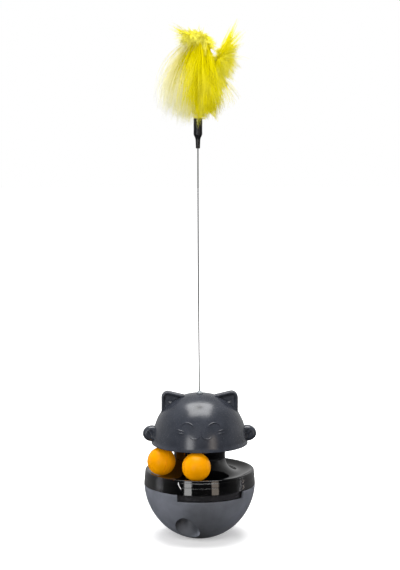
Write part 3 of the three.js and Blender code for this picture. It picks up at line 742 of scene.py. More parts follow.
@dataclass
class Bowl:
    """The weighted bowl: round shell, treat chute, screw posts and the notch that the tab shows in."""

    radius: float = 58.2
    half_height: float = 61.9
    foot_radius: float = 9.2
    rim: float = 57.3
    rim_round: float = 0.5
    wall: float = 2.0
    floor: float = 2.0
    notch: Point = (-25.1, 49.3)  # azimuths
    notch_depth: float = 7.3
    notch_radii: Point = (51.0, 60.0)  # well inside and outside the wall
    chute_radius: float = 12.65
    chute_distance: float = 38.6
    chute_azimuth: float = -20.0
    chute_wall: float = 1.8
    chute_top: float = 33.2
    post_radius: float = 3.5
    post_distance: float = 42.0
    post_azimuths: tuple[float, ...] = (70.0, 160.0, 250.0)
    post_hole_foot: float = 24.0
    boss_radius: float = 4.5
    boss_top: float = 9.0
    boss_hole: float = 1.7
    boss_hole_heights: Point = (2.3, 12.0)
    cut_heights: Point = (-3.0, 40.0)  # below the bowl and above the posts
    steps: int = 180

    @property
    def centre(self) -> float:
        """The height of the bowl's widest ring."""
        return self.half_height * math.sqrt(1 - (self.foot_radius / self.radius) ** 2)

    def curve(self, inset: float, bottom: float, top: float, steps: int) -> list[Point]:
        """Gives points up the bowl's wall.

        Args:
            inset: How far inside the outer face.
            bottom: The lowest height.
            top: The highest height.
            steps: The chords.

        Returns:
            Radii and heights, from the lowest.
        """
        radius = self.radius - inset
        half = self.half_height if inset == 0 else self.centre - inset
        angles = [math.acos(max(-1.0, min(1.0, (self.centre - z) / half))) for z in (bottom, top)]
        spread = [angles[0] + (angles[1] - angles[0]) * i / steps for i in range(steps + 1)]
        return [(radius * math.sin(a), self.centre - half * math.cos(a)) for a in spread]

    def build(self) -> Piece:
        """Builds the bowl."""
        edge, bend = self.rim_round, self.rim - self.rim_round
        outer = self.curve(0, 0, bend, 40)
        inner = self.curve(self.wall, self.floor, bend, 32)[::-1]
        rim_outer = arc((outer[-1][0] - edge, bend), edge, 0, 90, 4)[1:]
        rim_inner = arc((inner[0][0] + edge, bend), edge, 90, 180, 4)[:-1]
        profile = [(0, 0), *outer, *rim_outer, *rim_inner, *inner[:-1], (0, self.floor)]
        shell = turned("bowl", profile, self.steps)
        mid = self.wall / 2
        core = turned("core", [(0, mid), *self.curve(mid, mid, self.rim, 32), (0, self.rim)], self.steps)
        tube = self.chute_radius + self.chute_wall
        fittings = rod("chute", tube, (0, self.chute_top), self.chute_azimuth, self.chute_distance, 96)
        for azimuth in self.post_azimuths:
            post = rod("post", self.post_radius, (0, self.chute_top), azimuth, self.post_distance, 40)
            combine(fittings, post, Join.ADD)
        combine(fittings, rod("boss", self.boss_radius, (0, self.boss_top), sides=40), Join.ADD)
        combine(fittings, core, Join.KEEP)
        combine(shell, fittings, Join.ADD)
        bore = rod("bore", self.chute_radius, self.cut_heights, self.chute_azimuth, self.chute_distance, 96)
        combine(shell, bore, Join.CUT)
        for azimuth in self.post_azimuths:
            heights = (self.post_hole_foot, self.cut_heights[1])
            combine(shell, rod("hole", SCREW_HOLE, heights, azimuth, self.post_distance, 20), Join.CUT)
        combine(shell, rod("hole", self.boss_hole, self.boss_hole_heights, sides=20), Join.CUT)
        heights = (self.rim - self.notch_depth, self.rim + 2)
        notch = block("notch", self.notch_radii, heights, self.notch, 48)
        combine(shell, notch, Join.CUT)
        soften(shell, 0.35, 50)
        smooth(shell)
        return shell


# The tray and the neck


@dataclass
class Tray:
    """The smoked tray: wall, ball track, cove, flange, spigot with its teeth, and the tab in the notch."""

    foot: float = 57.6
    rim: float = 72.7
    foot_radius: float = 58.089
    rim_radius: float = 56.789
    wall: float = 2.0
    groove: float = 65.2
    groove_depth: float = 0.45
    groove_half: float = 0.45
    rim_round: float = 0.95
    bead_foot: float = 70.0
    bead_line: float = 0.35
    track_radius: float = 42.889
    track_floor: float = 69.3
    outer_arc: float = 20.0
    cove_arc: float = 16.1
    flange_inner: float = 15.0
    spigot_bottom: float = 49.3
    spigot_radius: float = 54.56
    tooth_radius: float = 53.74
    tab_face: float = 56.44
    tooth_azimuths: tuple[float, ...] = (60.0, 180.0, 300.0)
    tooth_half: float = 5.0  # degrees
    tooth_heights: Point = (45.7, 51.3)
    tab: Point = (-24.5, 35.2)  # azimuths
    tab_step: float = 26.5  # azimuth
    tab_bottoms: Point = (51.8, 52.6)
    tab_top: float = 58.6
    hole_heights: Point = (80.0, 90.0)  # below and above the flange
    line_sink: float = 0.12  # how far the middle of a coloured line lies under the wall's face
    chevron: tuple[Point, ...] = ((-1.1, 1.9), (0.4, 1.2), (1.2, 0.0), (0.4, -1.2), (-1.1, -1.9))
    chevrons_at: tuple[Point, ...] = ((49.5, 67.6), (49.5, 61.6))
    chevron_line: float = 0.4
    tick_start: Point = (-24.1, 70.6)
    tick_run: Point = (3.7, -7.2)
    tick_bow: float = 0.8
    tick_line: float = 0.42
    steps: int = 180

    @property
    def cove_top(self) -> float:
        """The height of the flange that carries the neck."""
        return self.track_floor + self.cove_arc

    def wall_at(self, height: float) -> float:
        """Gives the radius of the wall's outside at a height."""
        share = (height - self.foot) / (self.rim - self.foot)
        return self.foot_radius + (self.rim_radius - self.foot_radius) * share

    def profile(self) -> list[Point]:
        """Gives the tray's closed profile."""
        outer = (self.track_radius, self.track_floor + self.outer_arc)
        cove = (self.track_radius, self.cove_top)
        lip_angle = math.degrees(math.asin((outer[1] - self.rim) / self.outer_arc))
        under = self.outer_arc + self.wall
        under_angle = math.degrees(math.acos((self.rim_radius - self.wall - self.track_radius) / under))
        cove_under = self.cove_arc + self.wall
        cove_angle = math.degrees(math.asin(self.wall / cove_under))
        inner = self.spigot_radius - self.wall
        low, high = self.groove - self.groove_half, self.groove + self.groove_half
        lip = (self.rim_radius - self.rim_round, self.rim - self.rim_round)
        points = [
            (self.foot_radius - 0.25, self.foot),
            (self.foot_radius, self.foot + 0.25),
            (self.wall_at(low - 0.15), low - 0.15),
            (self.wall_at(low) - 0.12, low),
            (self.wall_at(self.groove) - self.groove_depth, low + 0.2),
            (self.wall_at(self.groove) - self.groove_depth, high - 0.2),
            (self.wall_at(high) - 0.12, high),
            (self.wall_at(high + 0.15), high + 0.15),
            (self.wall_at(self.bead_foot - 0.3), self.bead_foot - 0.3),
            (self.wall_at(self.bead_foot) - self.bead_line, self.bead_foot),
            (self.wall_at(self.bead_foot + 0.5) - 0.05, self.bead_foot + 0.5),
            *arc(lip, self.rim_round, 0, 90, 6),
            *arc(outer, self.outer_arc, -lip_angle, -90, 18),
            *arc(cove, self.cove_arc, -90, -180, 22)[1:],
            (self.flange_inner + 0.3, self.cove_top),
            (self.flange_inner, self.cove_top - 0.3),
            (self.flange_inner, self.cove_top - self.wall),
            *arc(cove, cove_under, cove_angle - 180, -90, 18),
            *arc(outer, under, -90, -under_angle, 8)[1:],
            (self.foot_radius - self.wall, self.foot + self.wall),
            (inner, self.foot + self.wall),
            (inner, self.spigot_bottom),
            (self.spigot_radius, self.spigot_bottom),
            (self.spigot_radius, self.foot),
        ]
        return [*points, points[0]]

    def build(self) -> Piece:
        """Builds the tray."""
        tray = turned("tray", self.profile(), self.steps)
        inner = self.spigot_radius - self.wall
        radii = (inner + 0.02, self.tooth_radius)
        for azimuth in self.tooth_azimuths:
            sweep = (azimuth - self.tooth_half, azimuth + self.tooth_half)
            combine(tray, block("tooth", radii, self.tooth_heights, sweep, 10), Join.ADD)
        radii = (self.spigot_radius - 1, self.tab_face)
        for bottom, end in zip(self.tab_bottoms, (self.tab_step, self.tab[1])):
            combine(tray, block("tab", radii, (bottom, self.tab_top), (self.tab[0], end), 48), Join.ADD)
        for azimuth in COLLAR_SCREWS:
            hole = rod("hole", SCREW_HOLE, self.hole_heights, azimuth, COLLAR_SCREW_DISTANCE, 24)
            combine(tray, hole, Join.CUT)
        soften(tray, 0.25, 60)
        smooth(tray)
        return tray

    def stroke(self, name: str, path: Sequence[Point], radius: float) -> Piece:
        """Lays a coloured line on the wall.

        Args:
            name: The piece's name.
            path: Its azimuths and heights, point by point.
            radius: Half its width.

        Returns:
            A closed round bar, half sunk in the wall.
        """
        centres = [place(self.wall_at(z) - self.line_sink, azimuth, z) for azimuth, z in path]
        line = bar(name, centres, radius, 1)
        smooth(line, 60)
        return line

    def chevrons(self) -> list[Piece]:
        """Makes the grey chevrons, a painted highlight standing in for the light caught by moulded arrows."""
        half = self.chevron_line
        return [
            self.stroke(f"chevron_{i}", [(azimuth + a, height + h) for a, h in self.chevron], half)
            for i, (azimuth, height) in enumerate(self.chevrons_at)
        ]

    def tick(self) -> Piece:
        """Makes the white tick."""
        (azimuth, height), (along, down) = self.tick_start, self.tick_run
        path = [
            (azimuth + along * t - self.tick_bow * math.sin(math.pi * t), height + down * t)
            for t in (i / 8 for i in range(9))
        ]
        return self.stroke("tick", path, self.tick_line)


@dataclass
class Neck:
    """The smoked collar that carries the head."""

    radius: float = 26.789
    wall: float = 2.0
    plate: float = 2.0
    bottom: float = 85.7
    top: float = 135.3
    foot_round: float = 0.4
    top_round: float = 1.2
    boss_radius: float = 3.5
    boss_top: float = 95.7
    boss_hole_heights: Point = (80.0, 94.9)
    top_hole_heights: Point = (130.0, 140.0)  # below and above the plate
    steps: int = 96

    def build(self) -> Piece:
        """Builds the collar."""
        inner = self.radius - self.wall
        under = self.top - self.plate
        low, high = self.foot_round, self.top_round
        foot = arc((self.radius - low, self.bottom + low), low, -90, 0, 3)
        edge = arc((self.radius - high, self.top - high), high, 0, 90, 5)
        profile = [(0, under), (inner - 1, under), (inner, under - 1), (inner, self.bottom), *foot, *edge]
        neck = turned("neck", [*profile, (0, self.top)], self.steps)
        for azimuth in COLLAR_SCREWS:
            distance = COLLAR_SCREW_DISTANCE
            boss = rod("boss", self.boss_radius, (self.bottom, self.boss_top), azimuth, distance, 32)
            combine(neck, boss, Join.ADD)
            combine(neck, rod("hole", SCREW_HOLE, self.boss_hole_heights, azimuth, distance, 20), Join.CUT)
        for azimuth in HEAD_SCREWS:
            hole = rod("hole", SCREW_HOLE, self.top_hole_heights, azimuth, HEAD_SCREW_DISTANCE, 20)
            combine(neck, hole, Join.CUT)
        smooth(neck)
        return neck


# The head


@dataclass
class Head:
    """The domed cat's head: dome, ears, paws, raised face, wand socket and screw posts."""

    base: float = 100.1
    radius: float = 49.1
    height: float = 52.5
    power: float = 2.2
    wall: float = 2.0
    flare: float = 1.6
    flare_height: float = 5.5
    socket_radius: float = 2.9
    socket_wall: float = 1.9
    socket_depth: float = 12.5
    ear_span: float = 39.8
    ear_top: float = 55.0
    ear_round: float = 6.6
    ear_slope: float = 13.5
    ear_root: float = 15.5
    ear_front: float = 5.4
    ear_back: float = 4.3
    ear_rim: float = 1.8
    ear_step: float = 0.9  # how deep the dish inside the rim is
    ear_recess: float = 5.8  # how deep the pit is at its top
    pit_centre: Point = (30.0, 148.0)  # the X and Z that the pit narrows towards
    pit_narrow: float = 0.75
    pit_lean: float = 0.3  # how much shallower the pit gets, per mm down from its top
    pit_bottom: float = 137.0
    fold: tuple[Point, ...] = ((26.5, 145.6), (27.5, 143.4), (31.0, 143.3), (35.6, 147.0), (34.6, 148.8))
    fold_foot: float = 143.3
    fold_slope: float = 0.98  # how far back the fold's face leans, per mm up
    paw_span: float = 59.2
    paw_rise: float = 9.9
    paw_back: float = 2.2
    paw_half: Triple = (9.4, 5.6, 8.1)
    paw_round: float = 3.6
    toe_angle: float = 56.0
    toe_spacing: float = 3.6
    toe_shift: float = 1.6
    toe_groove: Triple = (3.9, 1.1, 0.75)  # its half length, depth and half width
    bead: float = 0.64
    bead_proud: float = 0.08  # how far the beads' middle lies before the dome's face
    eye: tuple[float, ...] = (13.6, 22.6, 7.0, 22.0, 160.0)  # X, height, radius and the arc's ends
    mouth: tuple[float, ...] = (-6.6, 20.4, 6.5, 6.3)  # X, height and the half axes
    whiskers: tuple[Point, ...] = ((19.0, -1.0), (21.2, 9.0))  # height at the inner end, and slope
    whisker_start: float = 17.4
    whisker_run: float = 7.4
    philtrum: Point = (20.2, 2.6)  # its foot and its height
    post_radius: float = 3.4
    post_foot: float = 135.6
    post_hole_heights: Point = (130.0, 145.5)
    steps: int = 180

    def radius_at(self, height: float, inset: float) -> float:
        """Gives the dome's radius at a height above its base."""
        share = min(height / (self.height - inset), 1.0)
        flare = self.flare * max(0.0, 1 - height / self.flare_height) ** 2
        return (self.radius - inset) * (1 - share**self.power) ** (1 / self.power) + flare

    def height_at(self, radius: float) -> float:
        """Gives the dome's height above its base at a radius."""
        return self.height * (1 - (radius / self.radius) ** self.power) ** (1 / self.power)

    def curve(self, inset: float, bottom: float, steps: int) -> list[Point]:
        """Gives points up the dome, from a height above its base to its top."""
        lip = [bottom + (self.flare_height - bottom) * i / 10 for i in range(10)]
        lowest = math.asin((self.flare_height / (self.height - inset)) ** (self.power / 2))
        angles = [lowest + (math.pi / 2 - lowest) * i / steps for i in range(steps)]
        heights = [*lip, *((self.height - inset) * math.sin(a) ** (2 / self.power) for a in angles)]
        return [(self.radius_at(h, inset), self.base + h) for h in heights]

    def dome(self, name: str, inset: float) -> Piece:
        """Makes a solid dome, set in from the outer face."""
        top = (0.0, self.base + self.height - inset)
        return turned(name, [(0, self.base), *self.curve(inset, 0, 60), top], self.steps)

    def shell(self) -> Piece:
        """Makes the dome's shell with its wand socket."""
        lip = 0.7
        outer = [p for p in self.curve(0, lip, 60) if p[0] > self.socket_radius + 0.4]
        wide = self.socket_radius + self.socket_wall
        inner = [p for p in self.curve(self.wall, lip, 52) if p[0] > wide + 0.8]
        top = self.base + self.height
        foot = top - self.socket_depth
        profile = [
            (outer[0][0] - 0.5, self.base),
            (outer[0][0] - 0.12, self.base + 0.2),
            *outer,
            (self.socket_radius + 0.3, top),
            (self.socket_radius, top - 0.3),
            (self.socket_radius, foot),
            (wide, foot),
            (wide, top - self.wall - 0.8),
            (wide + 0.8, top - self.wall),
            *inner[::-1],
            (inner[0][0] + 0.5, self.base),
        ]
        return turned("head", [*profile, profile[0]], self.steps)

    def ear_outline(self, inset: float) -> list[Point]:
        """Gives the right ear's outline, seen from the front, made smaller all round by an inset."""
        rounded = self.ear_round - inset
        centre = (self.ear_span - self.ear_round, self.base + self.ear_top - self.ear_round)
        slope = math.radians(self.ear_slope)
        top = (centre[0] - rounded * math.sin(slope), centre[1] + rounded * math.cos(slope))
        root = top[1] - (top[0] - self.ear_root) * math.tan(slope)
        outer_root = self.base + self.height_at(self.ear_span)
        return [
            (self.ear_root + inset, root - 8),
            (self.ear_span - inset - 8, outer_root - 8),
            (self.ear_span - inset, outer_root),
            *arc(centre, rounded, 0, 90 + self.ear_slope, 14),
            (self.ear_root + inset, root),
        ]

    def upright(self, name: str, outline: Sequence[Point], front: float, back: float) -> Piece:
        """Makes a slab with an outline in the XZ plane.

        Args:
            name: The piece's name.
            outline: The outline's X and Z.
            front: Its front face's Y.
            back: Its back face's Y.

        Returns:
            The closed piece.
        """
        piece = drawn(name, [Vector((x, front, z)) * MM for x, z in outline])
        with editing(piece):
            bpy.ops.mesh.edge_face_add()
            bpy.ops.mesh.select_all(action="SELECT")
            bpy.ops.mesh.extrude_region_move(TRANSFORM_OT_translate={"value": (0, (back - front) * MM, 0)})
        closed_skin(piece)
        return piece

    def pit(self, front: float, floor: float) -> Piece:
        """Makes the room of the ear's pit, which narrows inwards to a floor that leans."""
        outline = [(x, max(z, self.pit_bottom)) for x, z in self.ear_outline(self.ear_rim + 0.5)]
        pit = self.upright("pit", outline, front, floor)
        x, z = (value * MM for value in self.pit_centre)
        top = (self.base + self.ear_top - 3) * MM
        with editing(pit) as mesh:
            for corner in mesh.verts:
                if corner.co.y > (floor - 0.2) * MM:
                    corner.co.x = x + (corner.co.x - x) * self.pit_narrow
                    corner.co.z = z + (corner.co.z - z) * self.pit_narrow
                    corner.co.y += (corner.co.z - top) * self.pit_lean
            bpy.ops.mesh.quads_convert_to_tris()
        return pit

    def ear_facet(self, front: float, back: float) -> Piece:
        """Makes the folded facet that rises from the pit's floor, its face leaning back."""
        fold = self.upright("fold", self.fold, front, back)
        with editing(fold) as mesh:
            for corner in mesh.verts:
                if corner.co.y < (front + 0.2) * MM:
                    corner.co.y = (front + 0.4) * MM + (corner.co.z - self.fold_foot * MM) * self.fold_slope
            bpy.ops.mesh.quads_convert_to_tris()
        return fold

    def ear(self) -> Piece:
        """Makes the right ear, its rim rounded and its front dished."""
        ear = self.upright("ear", self.ear_outline(0), -self.ear_front, self.ear_back)
        soften(ear, 1.0, 60, 4)
        step, floor = self.ear_step - self.ear_front, self.ear_recess - self.ear_front
        dish = self.upright("dish", self.ear_outline(self.ear_rim), -self.ear_front - 1, step)
        soften(dish, 1.4, 60, 4)
        combine(ear, dish, Join.CUT)
        combine(ear, self.pit(step - 0.1, floor), Join.CUT)
        combine(ear, self.ear_facet(step, floor + 1.5), Join.ADD)
        soften(ear, 0.3, 60, 2)
        return ear

    def paw(self) -> Piece:
        """Makes the right paw, a rounded pad with two grooves between its toes."""
        half_x, half_y, half_z = self.paw_half
        centre = Vector((self.paw_span - half_x, self.paw_back, self.base + self.paw_rise)) * MM
        paw = primitive(
            "paw",
            bpy.ops.mesh.primitive_cylinder_add,
            vertices=64,
            radius=MM,
            depth=2 * half_y * MM,
            location=centre,
            rotation=(math.pi / 2, 0, 0),
            scale=(half_x, half_z, 1),
        )
        soften(paw, self.paw_round, 60, 8)
        sphere = {"segments": 24, "ring_count": 16, "radius": MM, "location": (0, 0, 0)}
        for side in (-0.5, 0.5):
            groove = primitive("groove", bpy.ops.mesh.primitive_uv_sphere_add, **sphere)
            turn = Matrix.Rotation(math.radians(-self.toe_angle), 4, "Y")
            slide = Matrix.Translation(Vector((self.toe_shift, 0, side * self.toe_spacing)) * MM)
            shape = Matrix.Diagonal((*self.toe_groove, 1))
            here = Matrix.Translation(centre + Vector((0, -half_y, 0)) * MM)
            groove.data.transform(here @ turn @ slide @ shape)
            combine(paw, groove, Join.CUT)
        soften(paw, 0.25, 50, 2)
        return paw

    def bead_along(self, name: str, path: Sequence[Point]) -> Piece:
        """Lays a raised bead on the dome's front.

        Args:
            name: The piece's name.
            path: Its X and its height above the dome's base, point by point.

        Returns:
            A closed tube with narrowed ends.
        """
        centres = []
        for x, height in path:
            dome = self.radius_at(height, 0)
            front = -math.sqrt(dome**2 - x**2) - self.bead_proud
            centres.append(Vector((x, front, self.base + height)) * MM)
        return bar(name, centres, self.bead, 3)

    def face(self) -> list[Piece]:
        """Makes the beads of the face: shut eyes, mouth and whiskers."""
        x, height, radius, start, end = self.eye
        eye = arc((x, height), radius, start, end, 22)
        x, height, half_x, half_z = self.mouth
        turns = [math.radians(angle) for angle in range(4, -141, -8)]
        mouth = [(x + half_x * math.cos(a), height + half_z * math.sin(a)) for a in turns]
        runs = [self.whisker_run * i / 10 for i in range(11)]
        whiskers = [
            [(self.whisker_start + run, height + run * math.tan(math.radians(tilt))) for run in runs]
            for height, tilt in self.whiskers
        ]
        right = [eye, [(-x, z) for x, z in mouth], *whiskers]
        left = [[(-x, z) for x, z in line] for line in right]
        philtrum = [(0.0, self.philtrum[0] + self.philtrum[1] * i / 6) for i in range(7)]
        return [self.bead_along(f"bead_{i}", line) for i, line in enumerate([*right, *left, philtrum])]

    def build(self) -> Piece:
        """Builds the head."""
        shell = self.shell()
        # The ears' fine rounds cross themselves, and this solver joins them the same way each time.
        steady = "MANIFOLD"
        mirror = Matrix.Scale(-1, 4, (1, 0, 0))
        for part in (self.ear(), self.paw()):
            combine(part, self.dome("room", self.wall / 2), Join.CUT, steady)
            combine(shell, copied(part, "other", mirror), Join.ADD, steady)
            combine(shell, part, Join.ADD, steady)
        for azimuth in HEAD_SCREWS:
            spot = (azimuth, HEAD_SCREW_DISTANCE)
            post = rod("post", self.post_radius, (self.post_foot, self.base + self.height), *spot, 40)
            combine(post, self.dome("under", self.wall / 2), Join.KEEP, steady)
            combine(shell, post, Join.ADD, steady)
            combine(shell, rod("hole", SCREW_HOLE, self.post_hole_heights, *spot, 20), Join.CUT, steady)
        for bead in self.face():
            combine(shell, bead, Join.ADD, steady)
        smooth(shell, 28)
        return shell


# The balls


@dataclass
class Ball:
    """A hollow ball of two half shells, welded along a fine seam."""

    name: str
    azimuth: float
    radius: float = 14.7
    wall: float = 1.5
    orbit: float = 42.889
    height: float = 84.3
    seam: float = 0.3
    edge_round: float = 0.9  # degrees of the ball that the seam's edge is rounded over
    edge_drop: float = 0.14
    tilt: float = 78.0
    steps: int = 72

    def half(self, name: str, side: int) -> Piece:
        """Makes one half shell, with its seam edge slightly rounded."""
        inside = self.radius - self.wall
        start = math.degrees(math.asin(self.seam / 2 / self.radius))
        inner_start = math.degrees(math.asin(self.seam / 2 / inside))
        outer = arc((0, 0), self.radius, start + self.edge_round, 90, 30)[:-1]
        inner = arc((0, 0), inside, 90, inner_start, 20)[1:]
        edge = (self.radius - self.edge_drop, self.seam / 2)
        profile = [(0, inside), *inner, edge, *outer, (0, self.radius)]
        half = turned(name, [(r, side * z) for r, z in profile], self.steps)
        tip = Matrix.Rotation(math.radians(self.tilt), 4, "X")
        turn = Matrix.Rotation(math.radians(self.azimuth), 4, "Z")
        half.data.transform(Matrix.Translation(place(self.orbit, self.azimuth, self.height)) @ turn @ tip)
        smooth(half, 40)
        return half

    def build(self, body: str, material: Material) -> None:
        """Builds both halves on their body."""
        for part, side in (("cap", 1), ("cup", -1)):
            half = self.half(f"{self.name}_{part}_shell", side)
            seat(half, material, body, "ball_plastic", f"{self.name}_{part}")


# The wand


@dataclass
class Wand:
    """The silicone plug, the spring wire and the sleeve that binds the feathers to it."""

    head_top: float = 152.9
    plug_top: float = 155.2
    plug_radius: float = 3.5
    flange_round: float = 0.55
    flange_top: float = 1.15  # above the head
    stem: float = 2.6
    stem_depth: float = 11.5
    nub_foot: float = 2.2
    nub: Point = (1.55, 0.5)  # the radius that its rounded edge turns on, and that round
    wire_radius: float = 0.6
    bore_gap: float = 0.3
    wire_foot: float = 145.7
    wire_top: float = 415.2
    lean: float = 1.7
    sleeve: Point = (407.2, 437.8)
    sleeve_steps: tuple[Point, ...] = (  # the sleeve's radii, and their heights above its foot
        (1.9, 0.0),
        (2.1, 0.2),
        (2.22, 2.5),
        (2.3, 5.0),
        (2.42, 7.6),
        (2.6, 9.6),
        (3.1, 11.2),
        (3.8, 12.7),
        (4.3, 13.8),
        (4.5, 15.0),
        (4.42, 19.0),
        (4.5, 24.0),
    )

    def plug(self) -> Piece:
        """Makes the plug: a round flange with a nub, and the stem that fills the socket."""
        bore, round_off = self.wire_radius + self.bore_gap, self.flange_round
        foot, (nub, nub_round) = self.head_top - self.stem_depth, self.nub
        profile = [
            (0, foot),
            (self.stem - 0.5, foot),
            (self.stem, foot + 0.5),
            (self.stem, self.head_top),
            (self.plug_radius - 0.3, self.head_top),
            *arc((self.plug_radius - round_off, self.head_top + 0.6), round_off, -60, 90, 7),
            (self.nub_foot, self.head_top + self.flange_top),
            *arc((nub, self.plug_top - nub_round), nub_round, 20, 90, 4),
            (bore, self.plug_top),
            (bore, self.wire_foot - self.bore_gap),
            (0, self.wire_foot - self.bore_gap),
        ]
        plug = turned("plug", profile, 48)
        smooth(plug, 45)
        return plug

    def wire_at(self, share: float) -> Vector:
        """Gives a point on the wire's middle line, a quadratic curve that leans to the left."""
        x = -self.lean * (2 * share * (1 - share) + share * share)
        return Vector((x, 0, self.wire_foot + (self.wire_top - self.wire_foot) * share)) * MM

    def wire(self) -> Piece:
        """Makes the wire by extruding a disc along its middle line."""
        rings = 96
        path = [self.wire_at(i / rings) for i in range(rings + 1)]
        radius = self.wire_radius * MM
        disc = {"vertices": 16, "radius": radius, "fill_type": "NGON", "location": path[0]}
        wire = primitive("wire", bpy.ops.mesh.primitive_circle_add, **disc)
        with editing(wire, "FACE"):
            for here, there in pairwise(path):
                bpy.ops.mesh.extrude_region_move(TRANSFORM_OT_translate={"value": there - here})
        closed_skin(wire)
        smooth(wire, 45)
        return wire

    def ferrule(self) -> Piece:
        """Makes the shrunk sleeve, waisted where it grips the wire and wide round the quills."""
        low, high = self.sleeve
        bore, top = self.wire_radius + self.bore_gap, self.wire_top + self.bore_gap
        steps = [(radius, low + rise) for radius, rise in self.sleeve_steps]
        profile = [(0, top), (bore, top), (bore, low), *steps, (4.46, high - 0.4), (4.2, high), (0, high)]
        sleeve = turned("sleeve", profile, 48)
        sleeve.data.transform(Matrix.Translation(Vector((-self.lean, 0, 0)) * MM))
        smooth(sleeve, 40)
        return sleeve

    def build(self, finishes: Finishes) -> None:
        """Builds the plug and sleeve on their bodies, and the wire, which rides on no body."""
        seat(self.plug(), finishes.silicone.build(), "plug", "clear_silicone", "wand_plug")
        wire = self.wire()
        dress(wire, finishes.wire.build())
        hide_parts("wand_wire")
        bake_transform(wire)
        seat(self.ferrule(), finishes.sleeve.build(), "tuft", "black_sleeve", "wand_ferrule")


# The feathers


@dataclass(frozen=True)
class Fan:
    """Locks of barbs that leave a stretch of the quill one way, and how they hang."""

    span: Point  # shares of the quill
    azimuth: Point  # the way they leave, and its scatter
    rise: Point  # the angle above level at their roots, and its scatter
    fall: Point  # that angle at their tips, and its scatter
    length: Point | None  # mm, shortest and longest, or none for locks that reach down to the hem
    locks: int
    hem: Point = (0.0, 0.0)  # mm above the sleeve's top, lowest and highest
    barbs: int = 9
    width: float = 0.24  # mm, half of a barb's
    dye: Point = (0.0, 1.0)  # the stretch of the colour run from root to tip that they show; some hanging fans take its darker start and the crown fans its paler end
    out: float = 0.0  # mm that their roots stand off the quill


